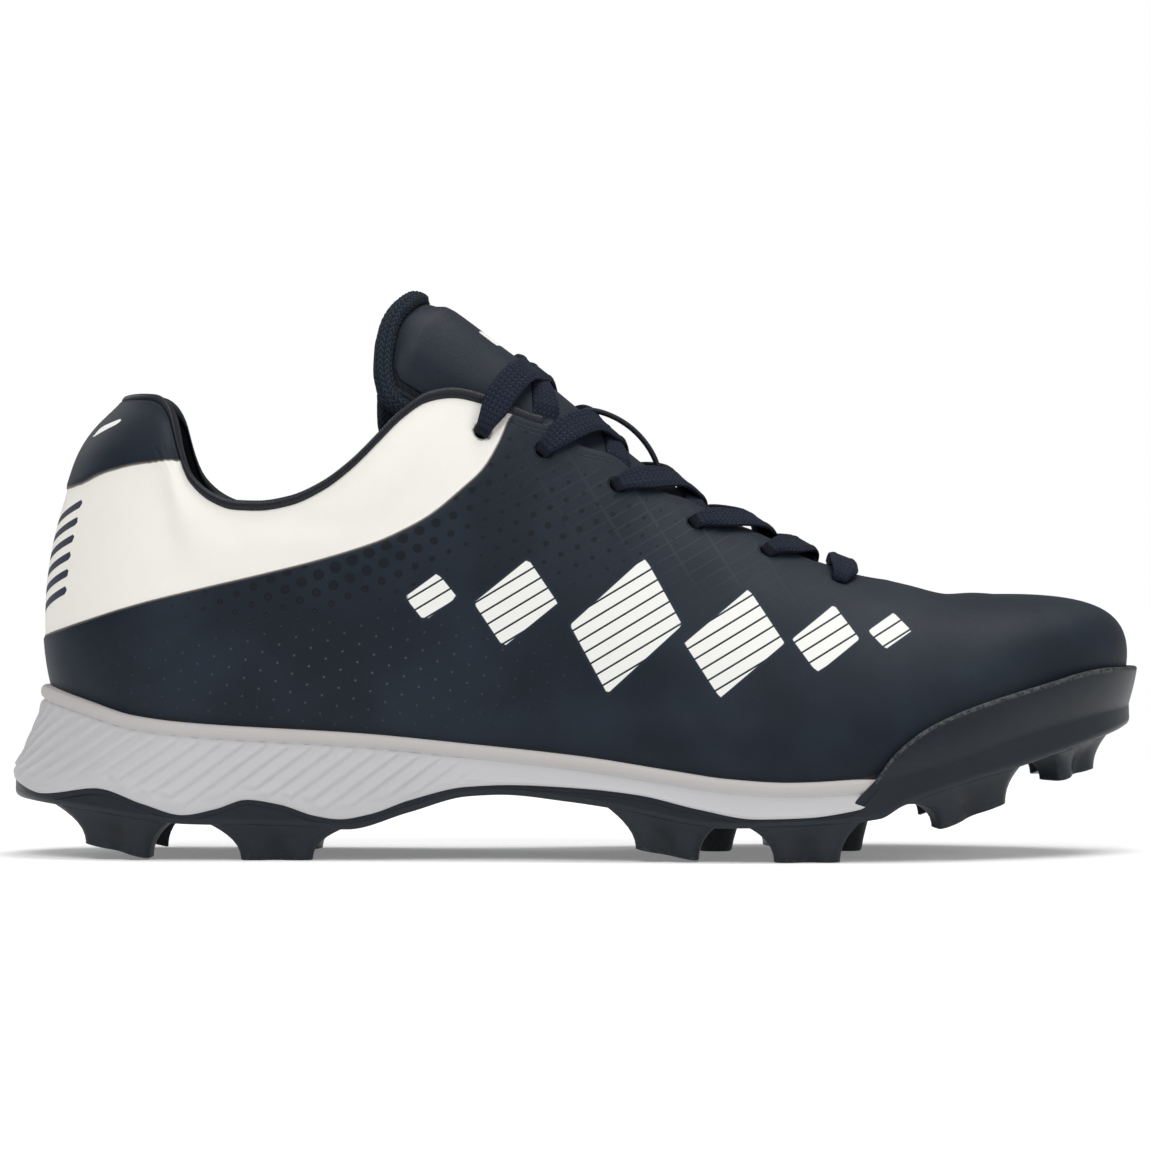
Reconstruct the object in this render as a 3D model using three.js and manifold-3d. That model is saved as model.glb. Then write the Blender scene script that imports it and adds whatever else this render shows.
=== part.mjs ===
// A low baseball cleat for the right foot, in millimetres.
// +X points to the toe, +Y to the inner side of the foot and +Z up. The studs stand on z = 0.
// Tables give places along the shoe and heights as shares of the named sizes below.
import * as THREE from "three";
import { mergeVertices } from "three/addons/utils/BufferGeometryUtils.js";
import Module from "manifold-3d";

const wasm = await Module();
wasm.setup();

// Driving sizes
const shoeLength = 290.6;
const ballWidth = 97;
const heelWidth = 64;
const heelHeight = 119;
const instepHeight = 120;
const toeHeight = 66;
const soleHeight = 34;
const wall = 2;
const gap = 0.3;

// Sole
const heelFlare = 9.6;
const soleLip = 2;
const lipHeight = 3.6;
const ribPitch = 5.7;
const ribRelief = 0.8;
const ribSlant = 1.35;
const ribShare = 0.42;
const bumperThickness = 2.8;
const soleGap = 1.7 * gap;
const midsoleEdgeIn = 0.5;
const midsoleOverBite = 0.4;
const midsoleOverBed = 1;
const plateInset = 0.6;
const plateRound = 1.5;
const plateOverRound = 0.5;
const studRootDepth = 17;
const studTipDepth = 9;
const studTipInset = 2.4;
const studFlute = 2;
const studShoulder = 1.5;
const centreStudRadius = 7;
const insoleThickness = 4;
const insoleRoom = 0.7;

// Upper
const featherInset = 2.5;
const collarPadding = 3.4;
const paddingDrop = 30;
const panelStep = 0.6;
const layerPast = 0.03;
const bindingThickness = 2.6;
const eyeletBore = 4.4;
const eyeletSetback = 7.5;

// Tongue and laces
const tongueThickness = 4.6;
const tongueClearance = 1.3;
const tongueRim = 5;
const rimGap = 2.5 * gap;
const rimSwell = 0.4;
const laceWidth = 7.5;
const laceThickness = 1.9;
const laceClearance = 0.5;
const laceReach = 0.005;
const laceLift = 0.9 * laceThickness;
const keeperWidth = 4;
const keeperThickness = 1;
const keeperRise = 7.5;
const keeperRow = 4;

// How finely the surfaces are cut
const stationCount = 32;
const lowerRows = [0, 0.1, 0.23, 0.4];
const lowerTop = lowerRows[lowerRows.length - 1];
const upperRowCount = 5;
const plainColumns = 16;
const tongueColumns = 8;
const tongueRows = 10;
const laceSteps = 8;
const holeSides = 8;
const rimSides = 8;
const bindingSides = 6;

const OUTER = -1;
const INNER = 1;
const SIDES = [OUTER, INNER];

// The bite line, where the upper meets the sole, runs between these shares of the length.
const biteStart = 0.034;
const biteEnd = 0.978;

// Half widths of the bite line to either side of the centre line
const planTable = [
  { along: 0.034, outer: 0.5, inner: 0.5, of: heelWidth },
  { along: 0.15, outer: 0.51, inner: 0.51, of: heelWidth },
  { along: 0.3, outer: 0.53, inner: 0.48, of: heelWidth },
  { along: 0.42, outer: 0.375, inner: 0.295, of: ballWidth },
  { along: 0.55, outer: 0.44, inner: 0.375, of: ballWidth },
  { along: 0.68, outer: 0.5, inner: 0.47, of: ballWidth },
  { along: 0.78, outer: 0.49, inner: 0.47, of: ballWidth },
  { along: 0.88, outer: 0.45, inner: 0.43, of: ballWidth },
  { along: 0.978, outer: 0.41, inner: 0.4, of: ballWidth },
];
const heelCap = { share: 0.14, power: 2.2 };
const toeCap = { share: 0.25, power: 2.15 };

// The centre line swings to the inner side at the toe.
const centreTable = [
  { along: 0, across: 0 },
  { along: 0.45, across: 0 },
  { along: 0.65, across: 0.015 },
  { along: 0.82, across: 0.045 },
  { along: 1, across: 0.085 },
];

// Heights of the bite line and of the bed that the foot stands on
const biteTable = [
  { along: 0.034, up: 1.27 },
  { along: 0.073, up: 1.165 },
  { along: 0.115, up: 1.055 },
  { along: 0.166, up: 1 },
  { along: 0.312, up: 0.925 },
  { along: 0.404, up: 0.85 },
  { along: 0.503, up: 0.76 },
  { along: 0.579, up: 0.66 },
  { along: 0.628, up: 0.6 },
  { along: 0.678, up: 0.575 },
  { along: 0.731, up: 0.595 },
  { along: 0.81, up: 0.75 },
  { along: 0.879, up: 0.955 },
  { along: 0.93, up: 1.075 },
  { along: 0.978, up: 1.16 },
];
const bedTable = [
  { along: 0.034, up: 0.96 },
  { along: 0.087, up: 0.87 },
  { along: 0.166, up: 0.825 },
  { along: 0.314, up: 0.75 },
  { along: 0.455, up: 0.645 },
  { along: 0.579, up: 0.515 },
  { along: 0.679, up: 0.44 },
  { along: 0.731, up: 0.45 },
  { along: 0.81, up: 0.62 },
  { along: 0.879, up: 0.835 },
  { along: 0.93, up: 0.96 },
  { along: 0.978, up: 1.075 },
];

// The waving lower edge of the midsole, and the underside of the plate below it
const edgeTable = [
  { along: 0, up: 0.66 },
  { along: 0.029, up: 0.59 },
  { along: 0.054, up: 0.475 },
  { along: 0.091, up: 0.525 },
  { along: 0.128, up: 0.41 },
  { along: 0.159, up: 0.33 },
  { along: 0.187, up: 0.375 },
  { along: 0.214, up: 0.445 },
  { along: 0.242, up: 0.41 },
  { along: 0.273, up: 0.325 },
  { along: 0.294, up: 0.3 },
  { along: 0.321, up: 0.34 },
  { along: 0.355, up: 0.445 },
  { along: 0.404, up: 0.545 },
  { along: 0.442, up: 0.56 },
  { along: 0.5, up: 0.54 },
  { along: 0.553, up: 0.49 },
  { along: 0.603, up: 0.39 },
  { along: 0.651, up: 0.32 },
  { along: 0.693, up: 0.33 },
  { along: 0.734, up: 0.38 },
  { along: 0.775, up: 0.49 },
  { along: 0.885, up: 0.775 },
  { along: 0.968, up: 1 },
];
const plateTable = [
  { along: 0.018, up: 0.47 },
  { along: 0.055, up: 0.41 },
  { along: 0.165, up: 0.268 },
  { along: 0.242, up: 0.256 },
  { along: 0.3, up: 0.23 },
  { along: 0.353, up: 0.355 },
  { along: 0.404, up: 0.475 },
  { along: 0.434, up: 0.488 },
  { along: 0.491, up: 0.44 },
  { along: 0.524, up: 0.4 },
  { along: 0.626, up: 0.253 },
  { along: 0.706, up: 0.274 },
  { along: 0.756, up: 0.32 },
  { along: 0.776, up: 0.415 },
  { along: 0.83, up: 0.574 },
  { along: 0.886, up: 0.712 },
  { along: 0.966, up: 0.935 },
  { along: 1, up: 1.06 },
];

// How far the sole's lower edge stands out past the bite line
const flareTable = [
  { along: 0.034, out: 1 },
  { along: 0.09, out: 0.66 },
  { along: 0.2, out: 0.45 },
  { along: 0.4, out: 0.34 },
  { along: 0.68, out: 0.36 },
  { along: 0.74, out: 0.3 },
  { along: 0.978, out: 0.3 },
];
// Past these shares of the length the midsole runs inside the toe bumper.
const bumperZone = { start: 0.73, end: 0.81, inset: 3 };

// The bumper's upper edge from the side
const bumperTable = [
  { along: 0.741, up: 0.16 },
  { along: 0.755, up: 0.61 },
  { along: 0.774, up: 0.8 },
  { along: 0.796, up: 0.95 },
  { along: 0.829, up: 1.055 },
  { along: 0.874, up: 1.18 },
  { along: 0.918, up: 1.3 },
  { along: 0.954, up: 1.39 },
  { along: 1.02, up: 1.42 },
];

// The top line of the last, which runs on over the throat and the ankle
const ridgeTable = [
  { along: 0.146, up: 1.07, of: heelHeight },
  { along: 0.19, up: 1.135, of: heelHeight },
  { along: 0.259, up: 1.25, of: instepHeight },
  { along: 0.32, up: 1.285, of: instepHeight },
  { along: 0.386, up: 1.19, of: instepHeight },
  { along: 0.486, up: 1.002, of: instepHeight },
  { along: 0.576, up: 0.822, of: instepHeight },
  { along: 0.665, up: 1.263, of: toeHeight },
  { along: 0.719, up: 1.142, of: toeHeight },
  { along: 0.755, up: 1.085, of: toeHeight },
  { along: 0.79, up: 1.045, of: toeHeight },
  { along: 0.826, up: 1.01, of: toeHeight },
  { along: 0.858, up: 1.01, of: toeHeight },
];

// Each section leaves the bite line with a bulge, and comes in to the ridge.
// bulge is outwards, lowUp and highUp are shares of the rise, highIn is a share of the run.
const profileTable = [
  { along: 0.034, bulge: 0.062, lowUp: 0.27, highIn: 0, highUp: 0.79 },
  { along: 0.14, bulge: 0.05, lowUp: 0.26, highIn: 0, highUp: 0.82 },
  { along: 0.3, bulge: 0.04, lowUp: 0.27, highIn: 0.06, highUp: 0.96 },
  { along: 0.42, bulge: 0.025, lowUp: 0.27, highIn: 0.25, highUp: 1 },
  { along: 0.55, bulge: 0.025, lowUp: 0.3, highIn: 0.33, highUp: 1 },
  { along: 0.68, bulge: 0.03, lowUp: 0.36, highIn: 0.33, highUp: 1 },
  { along: 0.8, bulge: 0.035, lowUp: 0.42, highIn: 0.27, highUp: 1 },
  { along: 0.9, bulge: 0.05, lowUp: 0.56, highIn: 0.08, highUp: 1 },
  { along: 0.978, bulge: 0.062, lowUp: 0.72, highIn: -0.04, highUp: 1 },
];
// The sections fan round the ends of the spine by these shares of the length.
const heelFan = { reach: 0.116, until: 0.32 };
const toeFan = { reach: 0.1, until: 0.3 };

// The collar's edge from the side, over the binding
const collarTable = [
  { along: 0.08, up: 0.99, of: heelHeight },
  { along: 0.109, up: 1, of: heelHeight },
  { along: 0.126, up: 0.997, of: heelHeight },
  { along: 0.135, up: 0.985, of: heelHeight },
  { along: 0.142, up: 0.96, of: heelHeight },
  { along: 0.151, up: 0.885, of: heelHeight },
  { along: 0.161, up: 0.825, of: heelHeight },
  { along: 0.183, up: 0.778, of: heelHeight },
  { along: 0.201, up: 0.763, of: heelHeight },
  { along: 0.223, up: 0.761, of: heelHeight },
  { along: 0.249, up: 0.771, of: heelHeight },
  { along: 0.276, up: 0.8, of: heelHeight },
  { along: 0.302, up: 0.84, of: instepHeight },
  { along: 0.328, up: 0.903, of: instepHeight },
  { along: 0.346, up: 0.948, of: instepHeight },
  { along: 0.369, up: 0.986, of: instepHeight },
  { along: 0.39, up: 0.995, of: instepHeight },
  { along: 0.425, up: 0.976, of: instepHeight },
  { along: 0.46, up: 0.942, of: instepHeight },
  { along: 0.492, up: 0.925, of: instepHeight },
];
// The throat narrows from the collar's corner to its front end.
const throatTable = [
  { share: 0, half: 1 },
  { share: 0.25, half: 0.88 },
  { share: 0.6, half: 0.72 },
  { share: 0.85, half: 0.6 },
  { share: 1, half: 0.52 },
];
const throatCorner = 0.472;
const throatFront = 0.772;
const throatRound = 0.12;

// Two seams from the side: the heel panel's lower edge and the heel tab's lower edge
const panelSeam = [
  { along: -0.02, up: 0.43, of: heelHeight },
  { along: 0.059, up: 0.494, of: heelHeight },
  { along: 0.129, up: 0.545, of: heelHeight },
  { along: 0.225, up: 0.6, of: heelHeight },
  { along: 0.277, up: 0.632, of: heelHeight },
  { along: 0.321, up: 0.666, of: heelHeight },
  { along: 0.347, up: 0.694, of: heelHeight },
  { along: 0.373, up: 0.724, of: instepHeight },
  { along: 0.399, up: 0.777, of: instepHeight },
  { along: 0.417, up: 0.819, of: instepHeight },
  { along: 0.43, up: 0.872, of: instepHeight },
  { along: 0.438, up: 0.919, of: instepHeight },
  { along: 0.45, up: 0.99, of: instepHeight },
  { along: 0.45, up: 1.3, of: instepHeight },
];
const tabSeam = [
  { along: 0.152, up: 1.3, of: heelHeight },
  { along: 0.156, up: 0.845, of: heelHeight },
  { along: 0.135, up: 0.84, of: heelHeight },
  { along: 0.109, up: 0.832, of: heelHeight },
  { along: 0.083, up: 0.815, of: heelHeight },
  { along: 0.056, up: 0.79, of: heelHeight },
  { along: -0.02, up: 0.76, of: heelHeight },
];

// Places of the eyelets along the shoe, from the toe up
const eyeletTable = [0.728, 0.664, 0.601, 0.533, 0.469, 0.416];

// The tongue's front end, and how far its top edge lies along the shoe for each share of its half width
const tongueFront = 0.795;
const tongueTopTable = [
  { share: 0, along: 0.364 },
  { share: 0.4, along: 0.35 },
  { share: 0.75, along: 0.33 },
  { share: 0.93, along: 0.3245 },
  { share: 1, along: 0.328 },
];
const tongueWidthTable = [
  { along: 0.3, half: 0.255 },
  { along: 0.4, half: 0.27 },
  { along: 0.55, half: 0.25 },
  { along: 0.8, half: 0.2 },
];

// Studs on each side of the plate: root and tip along the shoe, and the heights of the tip's ends
const studTable = [
  { rootRear: 0.058, rootFront: 0.146, tipRear: 0.075, tipFront: 0.128, rearUp: 0.115, frontUp: 0.01 },
  { rootRear: 0.182, rootFront: 0.295, tipRear: 0.2075, tipFront: 0.2695, rearUp: 0, frontUp: 0 },
  { rootRear: 0.524, rootFront: 0.615, tipRear: 0.547, tipFront: 0.6, rearUp: 0.09, frontUp: 0.01 },
  { rootRear: 0.645, rootFront: 0.741, tipRear: 0.666, tipFront: 0.724, rearUp: 0, frontUp: 0 },
  { rootRear: 0.778, rootFront: 0.88, tipRear: 0.812, tipFront: 0.872, rearUp: 0.235, frontUp: 0.42 },
  { rootRear: 0.903, rootFront: 0.955, tipRear: 0.912, tipFront: 0.946, rearUp: 0.57, frontUp: 0.66 },
];
const centreStuds = [
  { along: 0.62, up: 0.02 },
  { along: 0.735, up: 0.02 },
];

// Colours
const NAVY = 0x2a303b;
const FOAM_WHITE = 0xd7d5d8;
const SOLE_NAVY = 0x212a32;
const LACE_NAVY = 0x1b2340;
const BINDING_NAVY = 0x2d3446;
const RIM_NAVY = 0x1c2634;
const LINING = 0x0c1016;

// Numbers

const mix = (a, b, share) => a + (b - a) * share;
const clamp01 = (value) => Math.min(1, Math.max(0, value));
const ramp = (from, to, value) => {
  const share = clamp01((value - from) / (to - from));
  return share * share * (3 - 2 * share);
};

// A smooth curve through a table's rows that never overshoots them, level past both ends
function smoothTable(rows, key, value) {
  const xs = rows.map((row) => row[key]);
  const ys = rows.map(value);
  const slopes = xs.slice(1).map((x, i) => (ys[i + 1] - ys[i]) / (x - xs[i]));
  const tangents = xs.map((_, i) => {
    if (i === 0) return slopes[0];
    if (i === xs.length - 1) return slopes[i - 1];
    const product = slopes[i - 1] * slopes[i];
    return product <= 0 ? 0 : (2 * product) / (slopes[i - 1] + slopes[i]);
  });
  return (x) => {
    if (x <= xs[0]) return ys[0];
    if (x >= xs[xs.length - 1]) return ys[ys.length - 1];
    let i = 0;
    while (x > xs[i + 1]) i += 1;
    const step = xs[i + 1] - xs[i];
    const t = (x - xs[i]) / step;
    const rise = ys[i] * (1 + 2 * t) * (1 - t) ** 2 + ys[i + 1] * t * t * (3 - 2 * t);
    return rise + step * t * (1 - t) * (tangents[i] * (1 - t) - tangents[i + 1] * t);
  };
}

const heightTable = (rows) => smoothTable(rows, "along", (row) => row.up * (row.of ?? soleHeight));
const toX = (along) => (along - 0.5) * shoeLength;
const toAlong = (x) => x / shoeLength + 0.5;

// The shape of the last

const outerHalf = smoothTable(planTable, "along", (row) => row.outer * row.of);
const innerHalf = smoothTable(planTable, "along", (row) => row.inner * row.of);
const centreY = smoothTable(centreTable, "along", (row) => row.across * ballWidth);
const biteZ = heightTable(biteTable);
const bedZ = heightTable(bedTable);
const edgeZ = heightTable(edgeTable);
const plateZ = heightTable(plateTable);
const ridgeZ = heightTable(ridgeTable);
const collarZ = heightTable(collarTable);
const flareOut = smoothTable(flareTable, "along", (row) => row.out * heelFlare);
const profile = {
  bulge: smoothTable(profileTable, "along", (row) => row.bulge * ballWidth),
  lowUp: smoothTable(profileTable, "along", (row) => row.lowUp),
  highIn: smoothTable(profileTable, "along", (row) => row.highIn),
  highUp: smoothTable(profileTable, "along", (row) => row.highUp),
};
const throatShare = smoothTable(throatTable, "share", (row) => row.half);

// turn runs from 0 at the back of the heel to 1 at the tip of the toe, on either side.
const shareOfTurn = (turn) => (1 - Math.cos(Math.PI * turn)) / 2;
const turnOfShare = (share) => Math.acos(1 - 2 * clamp01(share)) / Math.PI;
const turnOfAlong = (along) => turnOfShare((along - biteStart) / (biteEnd - biteStart));
const alongOfTurn = (turn) => mix(biteStart, biteEnd, shareOfTurn(turn));
const capped = (share, cap) =>
  share >= cap.share ? 1 : (1 - (1 - share / cap.share) ** cap.power) ** (1 / cap.power);

function bitePlan(turn, side) {
  const share = shareOfTurn(turn);
  const along = alongOfTurn(turn);
  const half = side === OUTER ? outerHalf(along) : innerHalf(along);
  const width = half * capped(share, heelCap) * capped(1 - share, toeCap);
  return new THREE.Vector2(toX(along), centreY(along) + side * width);
}

// A point of the bite line's plan moved outwards, with the outward direction
function outline(turn, side, out) {
  const small = 0.002;
  const point = bitePlan(turn, side);
  const before = bitePlan(Math.max(0, turn - small), side);
  const after = bitePlan(Math.min(1, turn + small), side);
  const tangent = after.sub(before).normalize();
  const normal = new THREE.Vector2(-side * tangent.y, side * tangent.x);
  if (turn <= 0) normal.set(-1, 0);
  if (turn >= 1) normal.set(1, 0);
  return { x: point.x + normal.x * out, y: point.y + normal.y * out };
}

// The place on the spine that the section at this turn reaches
function spineAlong(turn) {
  const share = shareOfTurn(turn);
  const heel = heelFan.reach * (1 - clamp01(share / heelFan.until)) ** 2;
  const toe = toeFan.reach * (1 - clamp01((1 - share) / toeFan.until)) ** 2;
  return alongOfTurn(turn) + heel - toe;
}

const spinePoint = (turn, height) => {
  const along = spineAlong(turn);
  return new THREE.Vector3(toX(along), centreY(along), height(along));
};

// A point of the last's skin: rise is 0 at the bite line and 1 at the ridge.
function lastPoint(turn, side, rise) {
  const along = alongOfTurn(turn);
  const foot = bitePlan(turn, side);
  const top = spinePoint(turn, ridgeZ);
  const run = new THREE.Vector2(top.x - foot.x, top.y - foot.y);
  const reach = run.length();
  const low = biteZ(along);
  const height = top.z - low;
  const weights = [(1 - rise) ** 3, 3 * rise * (1 - rise) ** 2, 3 * rise ** 2 * (1 - rise), rise ** 3];
  const inwards = weights[1] * -profile.bulge(along) + weights[2] * profile.highIn(along) * reach + weights[3] * reach;
  const up = weights[1] * profile.lowUp(along) + weights[2] * profile.highUp(along) + weights[3];
  run.multiplyScalar(inwards / reach);
  return new THREE.Vector3(foot.x + run.x, foot.y + run.y, low + up * height);
}

const featherPoint = (turn, side) => {
  const edge = outline(turn, side, -featherInset);
  return new THREE.Vector3(edge.x, edge.y, bedZ(alongOfTurn(turn)));
};

// The turn and rise of the last's skin over a place in plan
function placeOnLast(x, y) {
  const side = y < centreY(toAlong(x)) ? OUTER : INNER;
  const offset = Math.abs(y - centreY(toAlong(x)));
  let along = toAlong(x);
  let rise = 1;
  for (let pass = 0; pass < 6; pass += 1) {
    const turn = turnOfAlong(along);
    let low = 0.35;
    let high = 1;
    for (let step = 0; step < 24; step += 1) {
      rise = (low + high) / 2;
      const point = lastPoint(turn, side, rise);
      if (Math.abs(point.y - centreY(toAlong(point.x))) > offset) low = rise;
      else high = rise;
    }
    along += toAlong(x) - toAlong(lastPoint(turn, side, rise).x);
  }
  return { turn: turnOfAlong(along), side, rise };
}

// A point over the last's skin, moved outwards along the skin's own normal
function overLast(x, y, out) {
  const { turn, side, rise } = placeOnLast(x, y);
  return skinPoint(turn, side, rise, out);
}

// Past either end of a side the skin goes on along the other side.
function lastAround(turn, side, rise) {
  if (turn < 0) return lastPoint(-turn, -side, rise);
  if (turn > 1) return lastPoint(2 - turn, -side, rise);
  return lastPoint(turn, side, rise);
}

function skinPoint(turn, side, rise, out) {
  const small = 0.01;
  const point = lastPoint(turn, side, rise);
  const lengthwise = lastAround(turn + small, side, rise).sub(lastAround(turn - small, side, rise));
  const upwards = lastPoint(turn, side, rise - small).sub(point).multiplyScalar(side);
  const normal = lengthwise.cross(upwards).normalize();
  return point.addScaledVector(normal, out);
}

// Where the upper ends

const bindingReach = bindingThickness + gap;
const cornerX = toX(throatCorner);

function collarHeight(x) {
  return collarZ(toAlong(x)) - bindingReach;
}

// The rise at which the skin at this turn crosses a limit, which is positive below the crossing
function crossing(turn, side, limit) {
  const step = 0.02;
  let low = lowerTop + step;
  while (low + step < 1 && limit(lastPoint(turn, side, low + step)) > 0) low += step;
  let high = Math.min(1, low + step);
  if (limit(lastPoint(turn, side, high)) > 0) return 1;
  for (let pass = 0; pass < 20; pass += 1) {
    const middle = (low + high) / 2;
    if (limit(lastPoint(turn, side, middle)) > 0) low = middle;
    else high = middle;
  }
  return high;
}

const cornerHalf = Object.fromEntries(
  SIDES.map((side) => {
    const turn = turnOfAlong(throatCorner);
    const rise = crossing(turn, side, (point) => collarHeight(point.x) - point.z);
    const corner = lastPoint(turn, side, rise);
    return [side, Math.abs(corner.y - centreY(throatCorner))];
  }),
);

function throatHalf(x, side) {
  const share = (toAlong(x) - throatCorner) / (throatFront - throatCorner);
  if (share >= 1) return 0;
  const end = capped(1 - share, { share: throatRound, power: 2 });
  return cornerHalf[side] * throatShare(Math.max(0, share)) * end;
}

// Ahead of the throat's front end the skin closes at the ridge.
function openingRise(turn, side) {
  return crossing(turn, side, (point) => {
    if (point.x < cornerX) return collarHeight(point.x) - point.z;
    const half = throatHalf(point.x, side);
    return half > 0 ? Math.abs(point.y - centreY(toAlong(point.x))) - half : 1;
  });
}

// Surfaces and solids

// A welded surface: points and triangles, with no triangle that has shrunk to a line
function weld(triangles) {
  const points = [];
  const index = new Map();
  const find = (point) => {
    const key = [point.x, point.y, point.z].map((value) => Math.round(value * 500)).join();
    if (!index.has(key)) index.set(key, points.push(point) - 1);
    return index.get(key);
  };
  const faces = triangles
    .map((corners) => corners.map(find))
    .filter(([a, b, c]) => a !== b && b !== c && c !== a);
  return { points, faces };
}

// The triangles of a grid of points, rows[i][j], facing to the left of i going up j
function gridTriangles(rows, turned) {
  const triangles = [];
  for (let i = 0; i + 1 < rows.length; i += 1) {
    for (let j = 0; j + 1 < rows[i].length; j += 1) {
      const a = rows[i][j];
      const b = rows[i + 1][j];
      const c = rows[i + 1][j + 1];
      const d = rows[i][j + 1];
      triangles.push(...(turned ? [[a, c, b], [a, d, c]] : [[a, b, c], [a, c, d]]));
    }
  }
  return triangles;
}

function vertexNormals({ points, faces }) {
  const normals = points.map(() => new THREE.Vector3());
  for (const [a, b, c] of faces) {
    const side = points[b].clone().sub(points[a]);
    const normal = side.cross(points[c].clone().sub(points[a]));
    for (const corner of [a, b, c]) normals[corner].add(normal);
  }
  return normals.map((normal) => normal.normalize());
}

function moved(surface, out) {
  const normals = vertexNormals(surface);
  const points = surface.points.map((point, i) => point.clone().addScaledVector(normals[i], out(point)));
  return { points, faces: surface.faces };
}

// An open surface and its copy further in, joined round every edge
function thicken(surface, depth) {
  const inner = moved(surface, (point) => -depth(point));
  const count = surface.points.length;
  const directed = new Set(surface.faces.flatMap(([a, b, c]) => [`${a},${b}`, `${b},${c}`, `${c},${a}`]));
  const faces = surface.faces.map((face) => [...face]);
  for (const [a, b, c] of surface.faces) faces.push([a + count, c + count, b + count]);
  for (const edge of directed) {
    const [a, b] = edge.split(",").map(Number);
    if (directed.has(`${b},${a}`)) continue;
    faces.push([b, a, a + count], [b, a + count, b + count]);
  }
  return { points: [...surface.points, ...inner.points], faces };
}

// Closed rings joined in turn, with a fan over each end
function loft(rings) {
  const triangles = [];
  const count = rings[0].length;
  for (let i = 0; i + 1 < rings.length; i += 1) {
    for (let j = 0; j < count; j += 1) {
      const k = (j + 1) % count;
      triangles.push([rings[i][j], rings[i + 1][j], rings[i + 1][k]]);
      triangles.push([rings[i][j], rings[i + 1][k], rings[i][k]]);
    }
  }
  const cap = (ring, turned) => {
    const centre = ring.reduce((sum, point) => sum.add(point), new THREE.Vector3()).divideScalar(count);
    ring.forEach((point, j) => {
      const next = ring[(j + 1) % count];
      triangles.push(turned ? [centre, next, point] : [centre, point, next]);
    });
  };
  cap(rings[0], false);
  cap(rings[rings.length - 1], true);
  return weld(triangles);
}

function solidFromSurface({ points, faces }) {
  const build = (list) =>
    new wasm.Manifold(
      new wasm.Mesh({
        numProp: 3,
        vertProperties: new Float32Array(points.flatMap((point) => [point.x, point.y, point.z])),
        triVerts: new Uint32Array(list.flat()),
      }),
    );
  const solid = build(faces);
  return solid.volume() < 0 ? build(faces.map(([a, b, c]) => [a, c, b])) : solid;
}

function solidFromGeometry(geometry) {
  geometry.deleteAttribute("normal");
  geometry.deleteAttribute("uv");
  const merged = mergeVertices(geometry, 1e-4);
  return new wasm.Manifold(
    new wasm.Mesh({
      numProp: 3,
      vertProperties: merged.attributes.position.array,
      triVerts: new Uint32Array(merged.index.array),
    }),
  );
}

// A prism right across the shoe with this outline from the side
function sidePrism(corners) {
  const depth = 4 * ballWidth;
  const shape = new THREE.Shape(corners.map(([x, z]) => new THREE.Vector2(x, z)));
  const geometry = new THREE.ExtrudeGeometry(shape, { depth, bevelEnabled: false });
  geometry.translate(0, 0, -depth / 2).rotateX(Math.PI / 2);
  return solidFromGeometry(geometry);
}

const sideCorners = (rows) => rows.map((row) => [toX(row.along), row.up * (row.of ?? soleHeight)]);

const turns = Array.from({ length: stationCount + 1 }, (_, k) => k / stationCount);

// The whole last as a closed form, grown outwards
function lastForm(out) {
  const rises = [...lowerRows];
  for (let j = 1; j <= upperRowCount; j += 1) rises.push(mix(lowerTop, 1, j / upperRowCount));
  const triangles = SIDES.flatMap((side) => {
    const rows = turns.map((turn) => [
      spinePoint(turn, bedZ),
      featherPoint(turn, side),
      ...rises.map((rise) => lastPoint(turn, side, rise)),
    ]);
    return gridTriangles(rows, side === INNER);
  });
  return solidFromSurface(moved(weld(triangles), () => out));
}

// The upper's skin from the feather edge to the opening, and a little past it if asked
function upperSkin(past) {
  const triangles = SIDES.flatMap((side) => {
    const rows = turns.map((turn) => {
      const top = openingRise(turn, side);
      const column = [featherPoint(turn, side), ...lowerRows.map((rise) => lastPoint(turn, side, rise))];
      for (let j = 1; j <= upperRowCount; j += 1) {
        column.push(lastPoint(turn, side, mix(lowerTop, top, j / upperRowCount)));
      }
      if (past > 0) column.push(lastPoint(turn, side, Math.min(1, top + past)));
      return column;
    });
    return gridTriangles(rows, side === INNER);
  });
  return weld(triangles);
}

// The collar is padded round the ankle, down to a named drop under its edge.
function paddingAt(point) {
  const ankle = 1 - ramp(0.24, 0.4, toAlong(point.x));
  const below = collarHeight(point.x) - point.z;
  return collarPadding * ankle * (1 - ramp(paddingDrop / 3, paddingDrop, below));
}

function eyeletCuts() {
  return SIDES.flatMap((side) =>
    eyeletTable.map((along) => {
      const place = eyeletPlace(along, side);
      const centre = skinPoint(place.turn, side, place.rise, 0);
      const axis = skinPoint(place.turn, side, place.rise, 1).sub(centre);
      const cut = new THREE.CylinderGeometry(eyeletBore / 2, eyeletBore / 2, 6 * wall, holeSides);
      cut.applyQuaternion(new THREE.Quaternion().setFromUnitVectors(new THREE.Vector3(0, 1, 0), axis));
      cut.translate(centre.x, centre.y, centre.z);
      return solidFromGeometry(cut);
    }),
  );
}

// An eyelet lies a named setback down the skin from the opening's edge.
function eyeletPlace(along, side) {
  const turn = turnOfAlong(along);
  const top = openingRise(turn, side);
  const edge = lastPoint(turn, side, top);
  let rise = top;
  while (rise > 0.3 && lastPoint(turn, side, rise).distanceTo(edge) < eyeletSetback) rise -= 0.004;
  return { turn, rise };
}

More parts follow.
